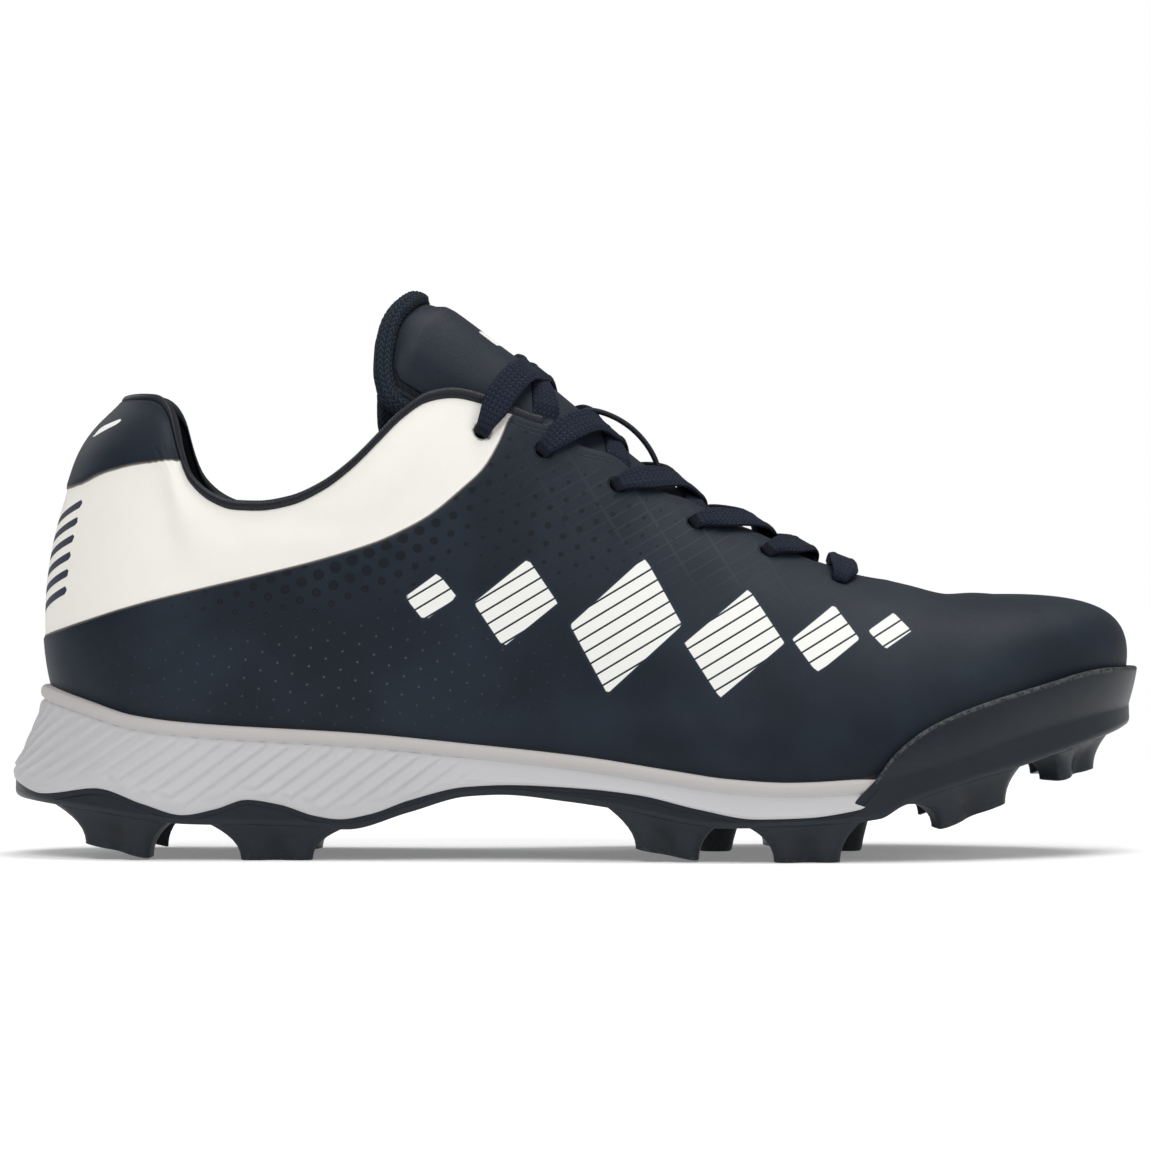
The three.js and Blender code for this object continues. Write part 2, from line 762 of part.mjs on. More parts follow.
function buildUpper() {
  const shell = solidFromSurface(thicken(upperSkin(0), (point) => wall + paddingAt(point)));
  const skin = moved(upperSkin(layerPast), () => wall / 2);
  const layer = solidFromSurface(thicken(skin, () => wall / 2 + panelStep));
  const panel = sidePrism([...sideCorners(panelSeam), ...sideCorners(tabSeam)]);
  const stepped = shell.subtract(layer.intersect(panel));
  return eyeletCuts().reduce((solid, cut) => solid.subtract(cut), stepped);
}

// Sole

// Lengths along one side of the outline, and the turn at each length
function measured(side) {
  const samples = 400;
  const lengths = [0];
  for (let i = 1; i <= samples; i += 1) {
    const step = bitePlan(i / samples, side).distanceTo(bitePlan((i - 1) / samples, side));
    lengths.push(lengths[i - 1] + step);
  }
  const total = lengths[samples];
  const lengthAt = (turn) => {
    const i = Math.min(samples - 1, Math.floor(turn * samples));
    return mix(lengths[i], lengths[i + 1], turn * samples - i);
  };
  const turnAt = (length) => {
    const target = Math.min(total, Math.max(0, length));
    let i = 1;
    while (i < samples && lengths[i] < target) i += 1;
    return (i - 1 + (target - lengths[i - 1]) / (lengths[i] - lengths[i - 1])) / samples;
  };
  return { total, lengthAt, turnAt };
}

const measures = Object.fromEntries(SIDES.map((side) => [side, measured(side)]));

// The midsole's columns: one on each rib and one in each groove, then wider apart
function ribColumns() {
  const { total, turnAt } = measures[OUTER];
  const ribs = Math.round((total * ribShare) / ribPitch);
  const columns = [];
  for (let i = 0; i < 2 * ribs; i += 1) columns.push({ turn: turnAt((i * ribPitch) / 2), high: i % 2 });
  for (let i = 0; i <= plainColumns; i += 1) {
    columns.push({ turn: turnAt(mix(ribs * ribPitch, total, i / plainColumns)), high: 0 });
  }
  return columns;
}

function midsoleForm(out, ribbed) {
  const columns = ribColumns().filter(({ high }) => ribbed || high === 0);
  const triangles = SIDES.flatMap((side) => {
    const rows = columns.map(({ turn, high }) => midsoleColumn(turn, high, side, out));
    return gridTriangles(rows, side === INNER);
  });
  return solidFromSurface(weld(triangles));
}

// The ribs lean about this height.
const ribLevel = 0.5 * soleHeight;

// From the middle of the underside out to the edge, up the side and back to the middle
function midsoleColumn(turn, high, side, out) {
  const { total, lengthAt, turnAt } = measures[side];
  const length = lengthAt(turn);
  const along = alongOfTurn(turn);
  const bumper = ramp(bumperZone.start, bumperZone.end, along);
  const low = edgeZ(along) - out;
  const topAt = (at) => mix(biteZ(at) + midsoleOverBite, bedZ(at) + midsoleOverBed, bumper);
  const bite = topAt(along) + out;
  const fade = ramp(0, 0.09 * total, length) * ramp(0, 0.12 * total, total - length);
  const lean = ribSlant * (1 - bumper) * fade;
  const relief = ribRelief * high * ramp(0, 0.1, ribShare - length / total);
  const place = (offset, height) => {
    const shifted = turnAt(length + lean * (height - ribLevel));
    const edge = outline(shifted, side, mix(offset, -bumperZone.inset, bumper) + out);
    return new THREE.Vector3(edge.x, edge.y, height);
  };
  const flare = flareOut(along);
  const ribTop = mix(bite - lipHeight, low + 1, bumper);
  const waist = mix(low, ribTop, 0.55);
  return [
    spinePoint(turn, (at) => edgeZ(at) - out),
    place(flare - midsoleEdgeIn, low),
    place(flare, mix(low, ribTop, 0.12)),
    place(mix(flare, soleLip, 0.62) + relief, waist),
    place(soleLip - 0.4 + relief, ribTop),
    place(soleLip + 0.6, mix(ribTop, bite, 0.25)),
    place(soleLip, bite),
    place(-bumperZone.inset, bite),
    spinePoint(turn, (at) => topAt(at) + out),
  ];
}

// The plate runs up behind the midsole's edge, and past the bumper's start up the toe.
function plateForm() {
  const triangles = SIDES.flatMap((side) => {
    const rows = turns.map((turn) => {
      const along = alongOfTurn(turn);
      const bumper = ramp(bumperZone.start - 0.02, bumperZone.end, along);
      const low = plateZ(along);
      const topAt = (at) =>
        Math.max(plateZ(at) + plateRound + plateOverRound, mix(edgeZ(at) + 1, biteZ(at), bumper));
      const high = topAt(along);
      const flare = flareOut(along) - plateInset;
      const top = mix(flare - 0.4, bumperThickness, bumper);
      const place = (offset, height) => {
        const edge = outline(turn, side, offset);
        return new THREE.Vector3(edge.x, edge.y, height);
      };
      return [
        spinePoint(turn, plateZ),
        place(mix(flare, bumperThickness, bumper) - plateRound, low),
        place(mix(flare, bumperThickness, bumper), low + plateRound),
        place(top, high),
        place(top - 2 * plateRound, high),
        spinePoint(turn, topAt),
      ];
    });
    return gridTriangles(rows, side === INNER);
  });
  return solidFromSurface(weld(triangles));
}

// A stud's ring of points: the outer face has a flute down its middle.
function studRing(side, rear, front, inset, depth, flute, height) {
  const corner = (share, inwards) => {
    const along = mix(rear, front, share);
    const edge = outline(turnOfAlong(along), side, flareOut(along) - plateInset - plateRound - inwards);
    return new THREE.Vector3(edge.x, edge.y, height(along, share));
  };
  return [
    corner(0, inset + studShoulder),
    corner(0.1, inset),
    corner(0.38, inset),
    corner(0.5, inset + flute),
    corner(0.62, inset),
    corner(0.9, inset),
    corner(1, inset + studShoulder),
    corner(0.9, inset + depth),
    corner(0.1, inset + depth),
  ];
}

function sideStud(row, side) {
  const rootHeight = (along) => plateZ(along) + plateRound;
  const tipHeight = (along, share) => mix(row.rearUp, row.frontUp, share) * soleHeight;
  const between = (share, narrowing) =>
    studRing(
      side,
      mix(row.rootRear, row.tipRear, narrowing),
      mix(row.rootFront, row.tipFront, narrowing),
      studTipInset * narrowing,
      mix(studRootDepth, studTipDepth, narrowing),
      studFlute * narrowing,
      (along, at) => mix(plateZ(along), tipHeight(along, at), share),
    );
  const root = studRing(side, row.rootRear, row.rootFront, 0, studRootDepth, 0, rootHeight);
  const tip = studRing(side, row.tipRear, row.tipFront, studTipInset, studTipDepth, studFlute, tipHeight);
  return solidFromSurface(loft([root, between(0, 0), between(0.4, 0.72), tip]));
}

function centreStud(row) {
  const low = row.up * soleHeight;
  const high = plateZ(row.along) + plateRound;
  const height = high - low;
  const cone = new THREE.CylinderGeometry(centreStudRadius, centreStudRadius * 0.6, height, 10);
  cone.rotateX(Math.PI / 2).translate(toX(row.along), centreY(row.along), low + height / 2);
  return solidFromGeometry(cone);
}

function buildOutsole() {
  const prism = sidePrism([...sideCorners(bumperTable), [toX(1.02), 0], [toX(bumperTable[0].along), 0]]);
  const bumper = lastForm(bumperThickness).intersect(prism);
  const studs = SIDES.flatMap((side) => studTable.map((row) => sideStud(row, side)));
  const pieces = [bumper, ...studs, ...centreStuds.map(centreStud)];
  const whole = pieces.reduce((solid, piece) => solid.add(piece), plateForm());
  return whole.subtract(midsoleForm(soleGap, false)).subtract(lastForm(gap));
}

function buildInsole() {
  const inset = -(featherInset + wall + gap + insoleRoom);
  const triangles = SIDES.flatMap((side) => {
    const rows = turns.map((turn) => {
      const along = alongOfTurn(turn);
      const edge = outline(turn, side, inset);
      const place = (lift) => new THREE.Vector3(edge.x, edge.y, bedZ(along) + lift);
      return [
        spinePoint(turn, (at) => bedZ(at) + gap),
        place(gap),
        place(gap + insoleThickness),
        spinePoint(turn, (at) => bedZ(at) + gap + insoleThickness),
      ];
    });
    return gridTriangles(rows, side === INNER);
  });
  return solidFromSurface(weld(triangles));
}

// Tongue

const tongueTop = smoothTable(tongueTopTable, "share", (row) => row.along);
const tongueHalf = smoothTable(tongueWidthTable, "along", (row) => row.half * ballWidth);

// How far under the last's skin the tongue's face lies
function tongueDepth(point) {
  return wall + tongueClearance + 0.6 * collarPadding * (1 - ramp(0.3, 0.4, toAlong(point.x)));
}

// A point on the tongue's outer face: across is -1 to 1, back is 0 at the front and 1 at the top edge.
function tonguePoint(across, back, margin) {
  const room = margin / shoeLength;
  const along = mix(tongueFront, tongueTop(Math.abs(across)) + room, back);
  const half = tongueHalf(along) - margin;
  const x = toX(along);
  const probe = overLast(x, centreY(along) + across * half, 0);
  return overLast(x, centreY(along) + across * half, -tongueDepth(probe));
}

function buildTongue() {
  const grid = Array.from({ length: tongueRows + 1 }, (_, i) =>
    Array.from({ length: tongueColumns + 1 }, (_, j) =>
      tonguePoint((2 * j) / tongueColumns - 1, i / tongueRows, tongueRim + rimGap),
    ),
  );
  return solidFromSurface(thicken(weld(gridTriangles(grid, true)), () => tongueThickness));
}

// The rim runs up one free side of the tongue, over its top and down the other.
function buildTongueRim() {
  const path = [];
  const sideSteps = 3;
  const topSteps = tongueColumns;
  const startBack = 0.78;
  for (let i = 0; i < sideSteps; i += 1) path.push([-1, mix(startBack, 1, i / sideSteps)]);
  for (let i = 0; i <= topSteps; i += 1) path.push([(2 * i) / topSteps - 1, 1]);
  for (let i = sideSteps - 1; i >= 0; i -= 1) path.push([1, mix(startBack, 1, i / sideSteps)]);
  const half = tongueRim / 2;
  const place = ([across, back], margin, sink) => {
    const along = mix(tongueFront, tongueTop(Math.abs(across)) + margin / shoeLength, back);
    const x = toX(along);
    const y = centreY(along) + across * (tongueHalf(along) - margin);
    const probe = overLast(x, y, 0);
    return overLast(x, y, -tongueDepth(probe) - sink);
  };
  const middle = tongueThickness / 2;
  const rings = path.map((step) =>
    Array.from({ length: rimSides }, (_, j) => {
      const angle = ((j + 0.5) * 2 * Math.PI) / rimSides;
      const margin = half * (1 - Math.cos(angle));
      const sink = middle - (middle + rimSwell) * Math.sin(angle);
      return place(step, margin, sink);
    }),
  );
  return solidFromSurface(loft(rings));
}

// The binding rolls along the collar's edge from one throat corner round the heel to the other.
function buildBinding() {
  const stations = [];
  const last = turns.filter((turn) => alongOfTurn(turn) < throatCorner).length - 1;
  for (let k = last; k > 0; k -= 1) stations.push([turns[k], OUTER]);
  for (let k = 0; k <= last; k += 1) stations.push([turns[k], INNER]);
  const small = 0.01;
  const rings = stations.map(([turn, side]) => {
    const top = openingRise(turn, side);
    const edge = lastPoint(turn, side, top);
    const up = edge.clone().sub(lastPoint(turn, side, top - small)).normalize();
    const out = skinPoint(turn, side, top, 1).sub(edge);
    const depth = wall + paddingAt(edge);
    const centre = edge.clone().addScaledVector(out, -depth / 2);
    centre.addScaledVector(up, gap + bindingThickness / 2);
    return Array.from({ length: bindingSides }, (_, j) => {
      const angle = (j * 2 * Math.PI) / bindingSides;
      const along = Math.cos(angle) * (depth / 2 + 0.2);
      const rise = (Math.sin(angle) * bindingThickness) / 2;
      return centre.clone().addScaledVector(out, along).addScaledVector(up, rise);
    });
  });
  return solidFromSurface(loft(rings));
}

// Laces

// A flat strap through centre points, each with its own upward direction
function strap(points, ups, width, thickness) {
  const rings = points.map((point, i) => {
    const before = points[Math.max(0, i - 1)];
    const after = points[Math.min(points.length - 1, i + 1)];
    const ahead = after.clone().sub(before).normalize();
    const across = ahead.clone().cross(ups[i]).normalize();
    const up = across.clone().cross(ahead).normalize();
    const corners = [
      [0.5, 0], [0.4, 0.5], [-0.4, 0.5], [-0.5, 0], [-0.4, -0.5], [0.4, -0.5],
    ];
    return corners.map(([sideways, upwards]) =>
      point.clone().addScaledVector(across, sideways * width).addScaledVector(up, upwards * thickness),
    );
  });
  return solidFromSurface(loft(rings));
}

// A lace length leaves an eyelet over the skin, comes down on the tongue and crosses it
// towards the toe, and ends beside the far edge of the throat.
const onSkin = laceClearance + laceThickness / 2;
const onTongue = onSkin - wall - tongueClearance;

function laceLength(from, side, to, lift) {
  const start = eyeletPlace(from, side);
  const first = lastPoint(start.turn, side, start.rise);
  const farX = toX(to);
  const far = centreY(to) - side * (throatHalf(Math.max(farX, cornerX + 1), -side) - laceWidth * 0.6);
  const points = [];
  const ups = [];
  for (let i = 0; i <= laceSteps; i += 1) {
    const share = i / laceSteps;
    const x = mix(first.x, farX, share);
    const y = mix(first.y, far, share);
    const edge = throatHalf(Math.max(x, cornerX + 1), side);
    const inside = side * (centreY(toAlong(x)) - y) + edge;
    const crossed = Math.exp(-(((y - centreY(toAlong(x))) / laceWidth) ** 2));
    const height = mix(onSkin, onTongue, ramp(0.6 * laceWidth, 2.2 * laceWidth, inside)) + lift * crossed;
    points.push(overLast(x, y, height));
    ups.push(overLast(x, y, 1).sub(overLast(x, y, 0)));
  }
  return strap(points, ups, laceWidth, laceThickness);
}

const laceTo = (row) => eyeletTable[row - 1] + (row === 1 ? -laceWidth / shoeLength : laceReach);

function buildLaceCross(row) {
  const under = laceLength(eyeletTable[row], INNER, laceTo(row), 0);
  const over = laceLength(eyeletTable[row], OUTER, laceTo(row), laceLift);
  return under.add(over);
}

// The first row is a straight bar between its two eyelets.
function buildLaceBar() {
  const ends = SIDES.map((side) => {
    const place = eyeletPlace(eyeletTable[0], side);
    return lastPoint(place.turn, side, place.rise);
  });
  const points = [];
  const ups = [];
  for (let i = 0; i <= laceSteps; i += 1) {
    const x = mix(ends[0].x, ends[1].x, i / laceSteps) + laceWidth * 0.2;
    const y = mix(ends[0].y, ends[1].y, i / laceSteps);
    points.push(overLast(x, y, onSkin));
    ups.push(overLast(x, y, 1).sub(overLast(x, y, 0)));
  }
  return strap(points, ups, laceWidth, laceThickness);
}

// The keeper's feet stand on the tongue on both sides of one crossing, and it arches over it.
function buildKeeper() {
  const crossedAt = (row) => mix(eyeletTable[row], laceTo(row), 0.62);
  const rear = toX((crossedAt(keeperRow + 1) + crossedAt(keeperRow)) / 2);
  const front = toX((crossedAt(keeperRow) + crossedAt(keeperRow - 1)) / 2);
  const points = [];
  const ups = [];
  const seat = gap + keeperThickness / 2 - wall - tongueClearance;
  for (let i = 0; i <= laceSteps; i += 1) {
    const share = i / laceSteps;
    const x = mix(rear, front, share);
    const rise = seat + keeperRise * Math.sin(Math.PI * share) ** 0.6;
    points.push(overLast(x, centreY(toAlong(x)), rise));
    ups.push(new THREE.Vector3(0, 0, 1));
  }
  return strap(points, ups, keeperWidth, keeperThickness);
}

// Assembly

function meshOf(name, solid, color, roughness) {
  const { vertProperties, triVerts } = solid.getMesh();
  const geometry = new THREE.BufferGeometry();
  geometry.setAttribute("position", new THREE.BufferAttribute(vertProperties, 3));
  geometry.setIndex(new THREE.BufferAttribute(triVerts, 1));
  geometry.computeVertexNormals();
  const material = new THREE.MeshStandardMaterial({ color, roughness, metalness: 0 });
  const mesh = new THREE.Mesh(geometry, material);
  mesh.name = name;
  return mesh;
}

const cleat = new THREE.Group();
cleat.name = "baseball_cleat";
cleat.add(meshOf("outsole", buildOutsole(), SOLE_NAVY, 0.45));
cleat.add(meshOf("midsole", midsoleForm(0, true).subtract(lastForm(gap)), FOAM_WHITE, 0.7));
cleat.add(meshOf("insole", buildInsole(), LINING, 0.9));
cleat.add(meshOf("upper", buildUpper(), NAVY, 0.6));
cleat.add(meshOf("tongue", buildTongue(), NAVY, 0.7));
cleat.add(meshOf("tongue_edge", buildTongueRim(), RIM_NAVY, 0.9));
cleat.add(meshOf("collar_binding", buildBinding(), BINDING_NAVY, 0.5));
cleat.add(meshOf("lace_bar", buildLaceBar(), LACE_NAVY, 0.85));
for (let row = 1; row < eyeletTable.length; row += 1) {
  cleat.add(meshOf(`lace_cross_${row}`, buildLaceCross(row), LACE_NAVY, 0.85));
}
cleat.add(meshOf("lace_keeper", buildKeeper(), BINDING_NAVY, 0.6));

// The origin lies under the middle of the shoe's box.
const box = new THREE.Box3().setFromObject(cleat);
const middle = box.getCenter(new THREE.Vector3());
cleat.position.set(-middle.x, -middle.y, -box.min.z);

export default cleat;
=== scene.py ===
"""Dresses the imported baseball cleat: fine surfaces, finishes, studio and camera.

Lengths inside the classes are millimetres on the shoe's own last, and pieces are made in metres.
The last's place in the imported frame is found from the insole's box.
"""

import logging
import math
from dataclasses import dataclass, field
from enum import IntEnum
from typing import Any, Callable, Optional, Sequence, Union

import bpy
import numpy as np
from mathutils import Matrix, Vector


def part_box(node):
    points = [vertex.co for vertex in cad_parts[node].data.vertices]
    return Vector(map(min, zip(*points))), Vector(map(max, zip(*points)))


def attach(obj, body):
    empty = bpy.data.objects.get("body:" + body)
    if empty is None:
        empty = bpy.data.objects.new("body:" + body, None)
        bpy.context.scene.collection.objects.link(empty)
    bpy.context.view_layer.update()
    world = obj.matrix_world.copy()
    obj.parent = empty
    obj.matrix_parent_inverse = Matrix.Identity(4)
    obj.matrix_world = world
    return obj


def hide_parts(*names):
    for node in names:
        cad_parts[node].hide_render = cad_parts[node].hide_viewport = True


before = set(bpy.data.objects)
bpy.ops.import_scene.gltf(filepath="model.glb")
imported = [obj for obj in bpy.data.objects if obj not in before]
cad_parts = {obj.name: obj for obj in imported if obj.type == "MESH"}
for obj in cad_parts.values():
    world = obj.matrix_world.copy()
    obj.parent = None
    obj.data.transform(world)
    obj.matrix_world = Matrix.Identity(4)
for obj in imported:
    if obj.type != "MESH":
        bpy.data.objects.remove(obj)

logging.basicConfig(level=logging.INFO, format="%(message)s")
LOG = logging.getLogger("cleat")

MM = 0.001
OUTER = -1.0
INNER = 1.0
ROOT = "root"
Array = np.ndarray
Colour = tuple[float, float, float]


# Curves and small maths


class Curve:
    """A smooth curve through places and values that never overshoots, level past both ends."""

    def __init__(self, places: Sequence[float], values: Sequence[float]) -> None:
        """Keeps the points and works out the slope at each.

        Args:
            places: rising places.
            values: the value at each place.
        """
        self.places = np.asarray(places, float)
        self.values = np.asarray(values, float)
        slopes = np.diff(self.values) / np.diff(self.places)
        tangents = np.zeros(len(self.places))
        tangents[0], tangents[-1] = slopes[0], slopes[-2]
        product = slopes[:-1] * slopes[1:]
        both = slopes[:-1] + slopes[1:]
        safe = np.where(product > 0, both, 1.0)
        tangents[1:-1] = np.where(product > 0, 2 * product / safe, 0.0)
        self.tangents = tangents

    def __call__(self, at: Union[float, Array]) -> Array:
        """The curve's value.

        Args:
            at: one place or an array of places.

        Returns:
            The values there.
        """
        x = np.clip(np.asarray(at, float), self.places[0], self.places[-1])
        i = np.clip(np.searchsorted(self.places, x, side="right") - 1, 0, len(self.places) - 2)
        step = self.places[i + 1] - self.places[i]
        t = (x - self.places[i]) / step
        rise = self.values[i] * (1 + 2 * t) * (1 - t) ** 2 + self.values[i + 1] * t * t * (3 - 2 * t)
        lean = self.tangents[i] * (1 - t) - self.tangents[i + 1] * t
        return rise + step * t * (1 - t) * lean


def mix(a: Any, b: Any, share: Any) -> Any:
    """A value between a and b."""
    return a + (b - a) * share


def ramp(low: float, high: float, value: Any) -> Array:
    """A soft step from 0 to 1."""
    share = np.clip((np.asarray(value, float) - low) / (high - low), 0.0, 1.0)
    return share * share * (3 - 2 * share)


def bell(value: Any, middle: float, width: float) -> Array:
    """A smooth hill of height 1."""
    return np.exp(-(((np.asarray(value, float) - middle) / width) ** 2))


def unit(vectors: Array) -> Array:
    """Vectors of length 1 in the same directions."""
    length = np.linalg.norm(vectors, axis=-1, keepdims=True)
    return vectors / np.maximum(length, 1e-12)


def smooth_path(points: Array, per_step: int) -> Array:
    """A round path through points.

    Args:
        points: the points, one a row.
        per_step: how many points stand for each step between two.

    Returns:
        The finer path, through every point given.
    """
    padded = np.vstack([2 * points[0] - points[1], points, 2 * points[-1] - points[-2]])
    pieces = []
    for i in range(1, len(padded) - 2):
        t = np.linspace(0, 1, per_step, endpoint=False)[:, None]
        a, b, c, d = padded[i - 1 : i + 3]
        pieces.append(
            0.5 * (2 * b + (c - a) * t + (2 * a - 5 * b + 4 * c - d) * t**2 + (3 * b - a - 3 * c + d) * t**3)
        )
    return np.vstack([*pieces, padded[-2][None]])


def lengths_along(points: Array) -> Array:
    """How far along a path each of its points lies."""
    steps = np.linalg.norm(np.diff(points, axis=0), axis=1)
    return np.concatenate([[0.0], np.cumsum(steps)])


def signed_distance(places: Array, corners: Array) -> Array:
    """How far inside a flat outline each place lies.

    Args:
        places: places in the plane, in rows of two.
        corners: the outline's corners in order.

    Returns:
        Distances, above 0 inside and below 0 outside.
    """
    best = np.full(len(places), 1e9)
    inside = np.zeros(len(places), bool)
    for a, b in zip(corners, np.roll(corners, -1, axis=0)):
        edge = b - a
        share = np.clip(((places - a) @ edge) / max(edge @ edge, 1e-9), 0, 1)
        gone = places - (a + share[:, None] * edge)
        best = np.minimum(best, np.hypot(gone[:, 0], gone[:, 1]))
        spans = (a[1] > places[:, 1]) != (b[1] > places[:, 1])
        rise = edge[1] if edge[1] else 1e-9
        inside ^= spans & (places[:, 0] < a[0] + edge[0] * (places[:, 1] - a[1]) / rise)
    return np.where(inside, best, -best)


# The last and the shoe's own lines


@dataclass
class Last:
    """The form that the shoe is made on. Every surface of the shoe follows it."""

    length: float = 290.6
    ball_width: float = 97.0
    heel_width: float = 64.0
    heel_height: float = 119.0
    instep_height: float = 120.0
    toe_height: float = 66.0
    sole_height: float = 34.0
    heel_flare: float = 9.6
    wall: float = 2.0
    gap: float = 0.3
    feather: float = 2.5
    padding: float = 3.4
    padding_drop: float = 30.0
    binding: float = 2.6
    eyelet_setback: float = 7.5
    bite_start: float = 0.034
    bite_end: float = 0.978
    throat_corner: float = 0.472
    throat_front: float = 0.772
    eyelets: tuple[float, ...] = (0.728, 0.664, 0.601, 0.533, 0.469, 0.416)
    shift: Array = field(default_factory=lambda: np.zeros(3))

    def __post_init__(self) -> None:
        """Makes the curves from the tables. Heights and widths are shares of the named sizes."""
        # along, outer half, inner half
        heel = ((0.034, 0.5, 0.5), (0.15, 0.51, 0.51), (0.3, 0.53, 0.48))
        ball = (
            (0.42, 0.375, 0.295),
            (0.55, 0.44, 0.375),
            (0.68, 0.5, 0.47),
            (0.78, 0.49, 0.47),
            (0.88, 0.45, 0.43),
            (0.978, 0.41, 0.4),
        )
        rows = [(a, o * self.heel_width, i * self.heel_width) for a, o, i in heel]
        rows += [(a, o * self.ball_width, i * self.ball_width) for a, o, i in ball]
        self.outer_half = Curve([r[0] for r in rows], [r[1] for r in rows])
        self.inner_half = Curve([r[0] for r in rows], [r[2] for r in rows])
        # along, up
        self.centre = self.table(
            ((0, 0), (0.45, 0), (0.65, 0.015), (0.82, 0.045), (1, 0.085)), self.ball_width
        )
        self.bite = self.table(
            (
                (0.034, 1.27), (0.073, 1.165), (0.115, 1.055), (0.166, 1), (0.312, 0.925),
                (0.404, 0.85), (0.503, 0.76), (0.579, 0.66), (0.628, 0.6), (0.678, 0.575),
                (0.731, 0.595), (0.81, 0.75), (0.879, 0.955), (0.93, 1.075), (0.978, 1.16),
            ),
            self.sole_height,
        )
        self.bed = self.table(
            (
                (0.034, 0.96), (0.087, 0.87), (0.166, 0.825), (0.314, 0.75), (0.455, 0.645),
                (0.579, 0.515), (0.679, 0.44), (0.731, 0.45), (0.81, 0.62), (0.879, 0.835),
                (0.93, 0.96), (0.978, 1.075),
            ),
            self.sole_height,
        )
        self.ridge = self.heights(
            (
                (0.146, 1.07, "heel"), (0.19, 1.135, "heel"), (0.259, 1.25, "instep"),
                (0.32, 1.285, "instep"), (0.386, 1.19, "instep"), (0.486, 1.002, "instep"),
                (0.576, 0.822, "instep"), (0.665, 1.263, "toe"), (0.719, 1.142, "toe"),
                (0.755, 1.085, "toe"), (0.79, 1.045, "toe"), (0.826, 1.01, "toe"), (0.858, 1.01, "toe"),
            )
        )
        # along, bulge, low up, high in, high up
        profile = (
            (0.034, 0.062, 0.27, 0, 0.79), (0.14, 0.05, 0.26, 0, 0.82), (0.3, 0.04, 0.27, 0.06, 0.96),
            (0.42, 0.025, 0.27, 0.25, 1), (0.55, 0.025, 0.3, 0.33, 1), (0.68, 0.03, 0.36, 0.33, 1),
            (0.8, 0.035, 0.42, 0.27, 1), (0.9, 0.05, 0.56, 0.08, 1), (0.978, 0.062, 0.72, -0.04, 1),
        )
        places = [row[0] for row in profile]
        self.bulge = Curve(places, [row[1] * self.ball_width for row in profile])
        self.low_up = Curve(places, [row[2] for row in profile])
        self.high_in = Curve(places, [row[3] for row in profile])
        self.high_up = Curve(places, [row[4] for row in profile])
        self.collar = self.heights(
            (
                (0.08, 0.99, "heel"), (0.109, 1, "heel"), (0.126, 0.997, "heel"), (0.135, 0.985, "heel"),
                (0.142, 0.96, "heel"), (0.151, 0.885, "heel"), (0.161, 0.825, "heel"),
                (0.183, 0.778, "heel"), (0.201, 0.763, "heel"), (0.223, 0.761, "heel"),
                (0.249, 0.771, "heel"), (0.276, 0.8, "heel"), (0.302, 0.84, "instep"),
                (0.328, 0.903, "instep"), (0.346, 0.948, "instep"), (0.369, 0.986, "instep"),
                (0.39, 0.995, "instep"), (0.425, 0.976, "instep"), (0.46, 0.942, "instep"),
                (0.492, 0.925, "instep"),
            )
        )
        self.throat = Curve((0, 0.25, 0.6, 0.85, 1), (1, 0.88, 0.72, 0.6, 0.52))
        self.corner_x = self.to_x(self.throat_corner)
        self.corner_half = {side: self._corner_half(side) for side in (OUTER, INNER)}

    def table(self, rows: Sequence[tuple[float, float]], size: float) -> Curve:
        """A curve of rows that share one size."""
        return Curve([row[0] for row in rows], [row[1] * size for row in rows])

    def heights(self, rows: Sequence[tuple[float, float, str]]) -> Curve:
        """A curve of rows that name the size they are shares of."""
        sizes = {"heel": self.heel_height, "instep": self.instep_height, "toe": self.toe_height}
        return Curve([row[0] for row in rows], [row[1] * sizes[row[2]] for row in rows])

    def to_x(self, along: Any) -> Any:
        """The place in millimetres for a share of the length."""
        return (along - 0.5) * self.length

    def to_along(self, x: Any) -> Any:
        """The share of the length for a place in millimetres."""
        return x / self.length + 0.5

    def along_of(self, turn: Any) -> Array:
        """The share of the length that a turn round the bite line reaches."""
        return mix(self.bite_start, self.bite_end, (1 - np.cos(np.pi * np.asarray(turn, float))) / 2)

    def turn_of(self, along: Any) -> Array:
        """The turn round the bite line at a share of the length."""
        share = (np.asarray(along, float) - self.bite_start) / (self.bite_end - self.bite_start)
        return np.arccos(1 - 2 * np.clip(share, 0, 1)) / np.pi

    @staticmethod
    def capped(share: Any, end: float, power: float) -> Array:
        """The rounding of an end."""
        left = np.clip(1 - np.asarray(share, float) / end, 0, 1)
        return (1 - left**power) ** (1 / power)

    def bite_plan(self, turn: Any, side: Any) -> Array:
        """The bite line from above.

        Args:
            turn: 0 at the back of the heel to 1 at the tip of the toe.
            side: OUTER or INNER.

        Returns:
            x and y in the last axis.
        """
        turn, side = np.broadcast_arrays(np.asarray(turn, float), np.asarray(side, float))
        share = (1 - np.cos(np.pi * turn)) / 2
        along = self.along_of(turn)
        half = np.where(side < 0, self.outer_half(along), self.inner_half(along))
        width = half * self.capped(share, 0.14, 2.2) * self.capped(1 - share, 0.25, 2.15)
        return np.stack([self.to_x(along), self.centre(along) + side * width], -1)

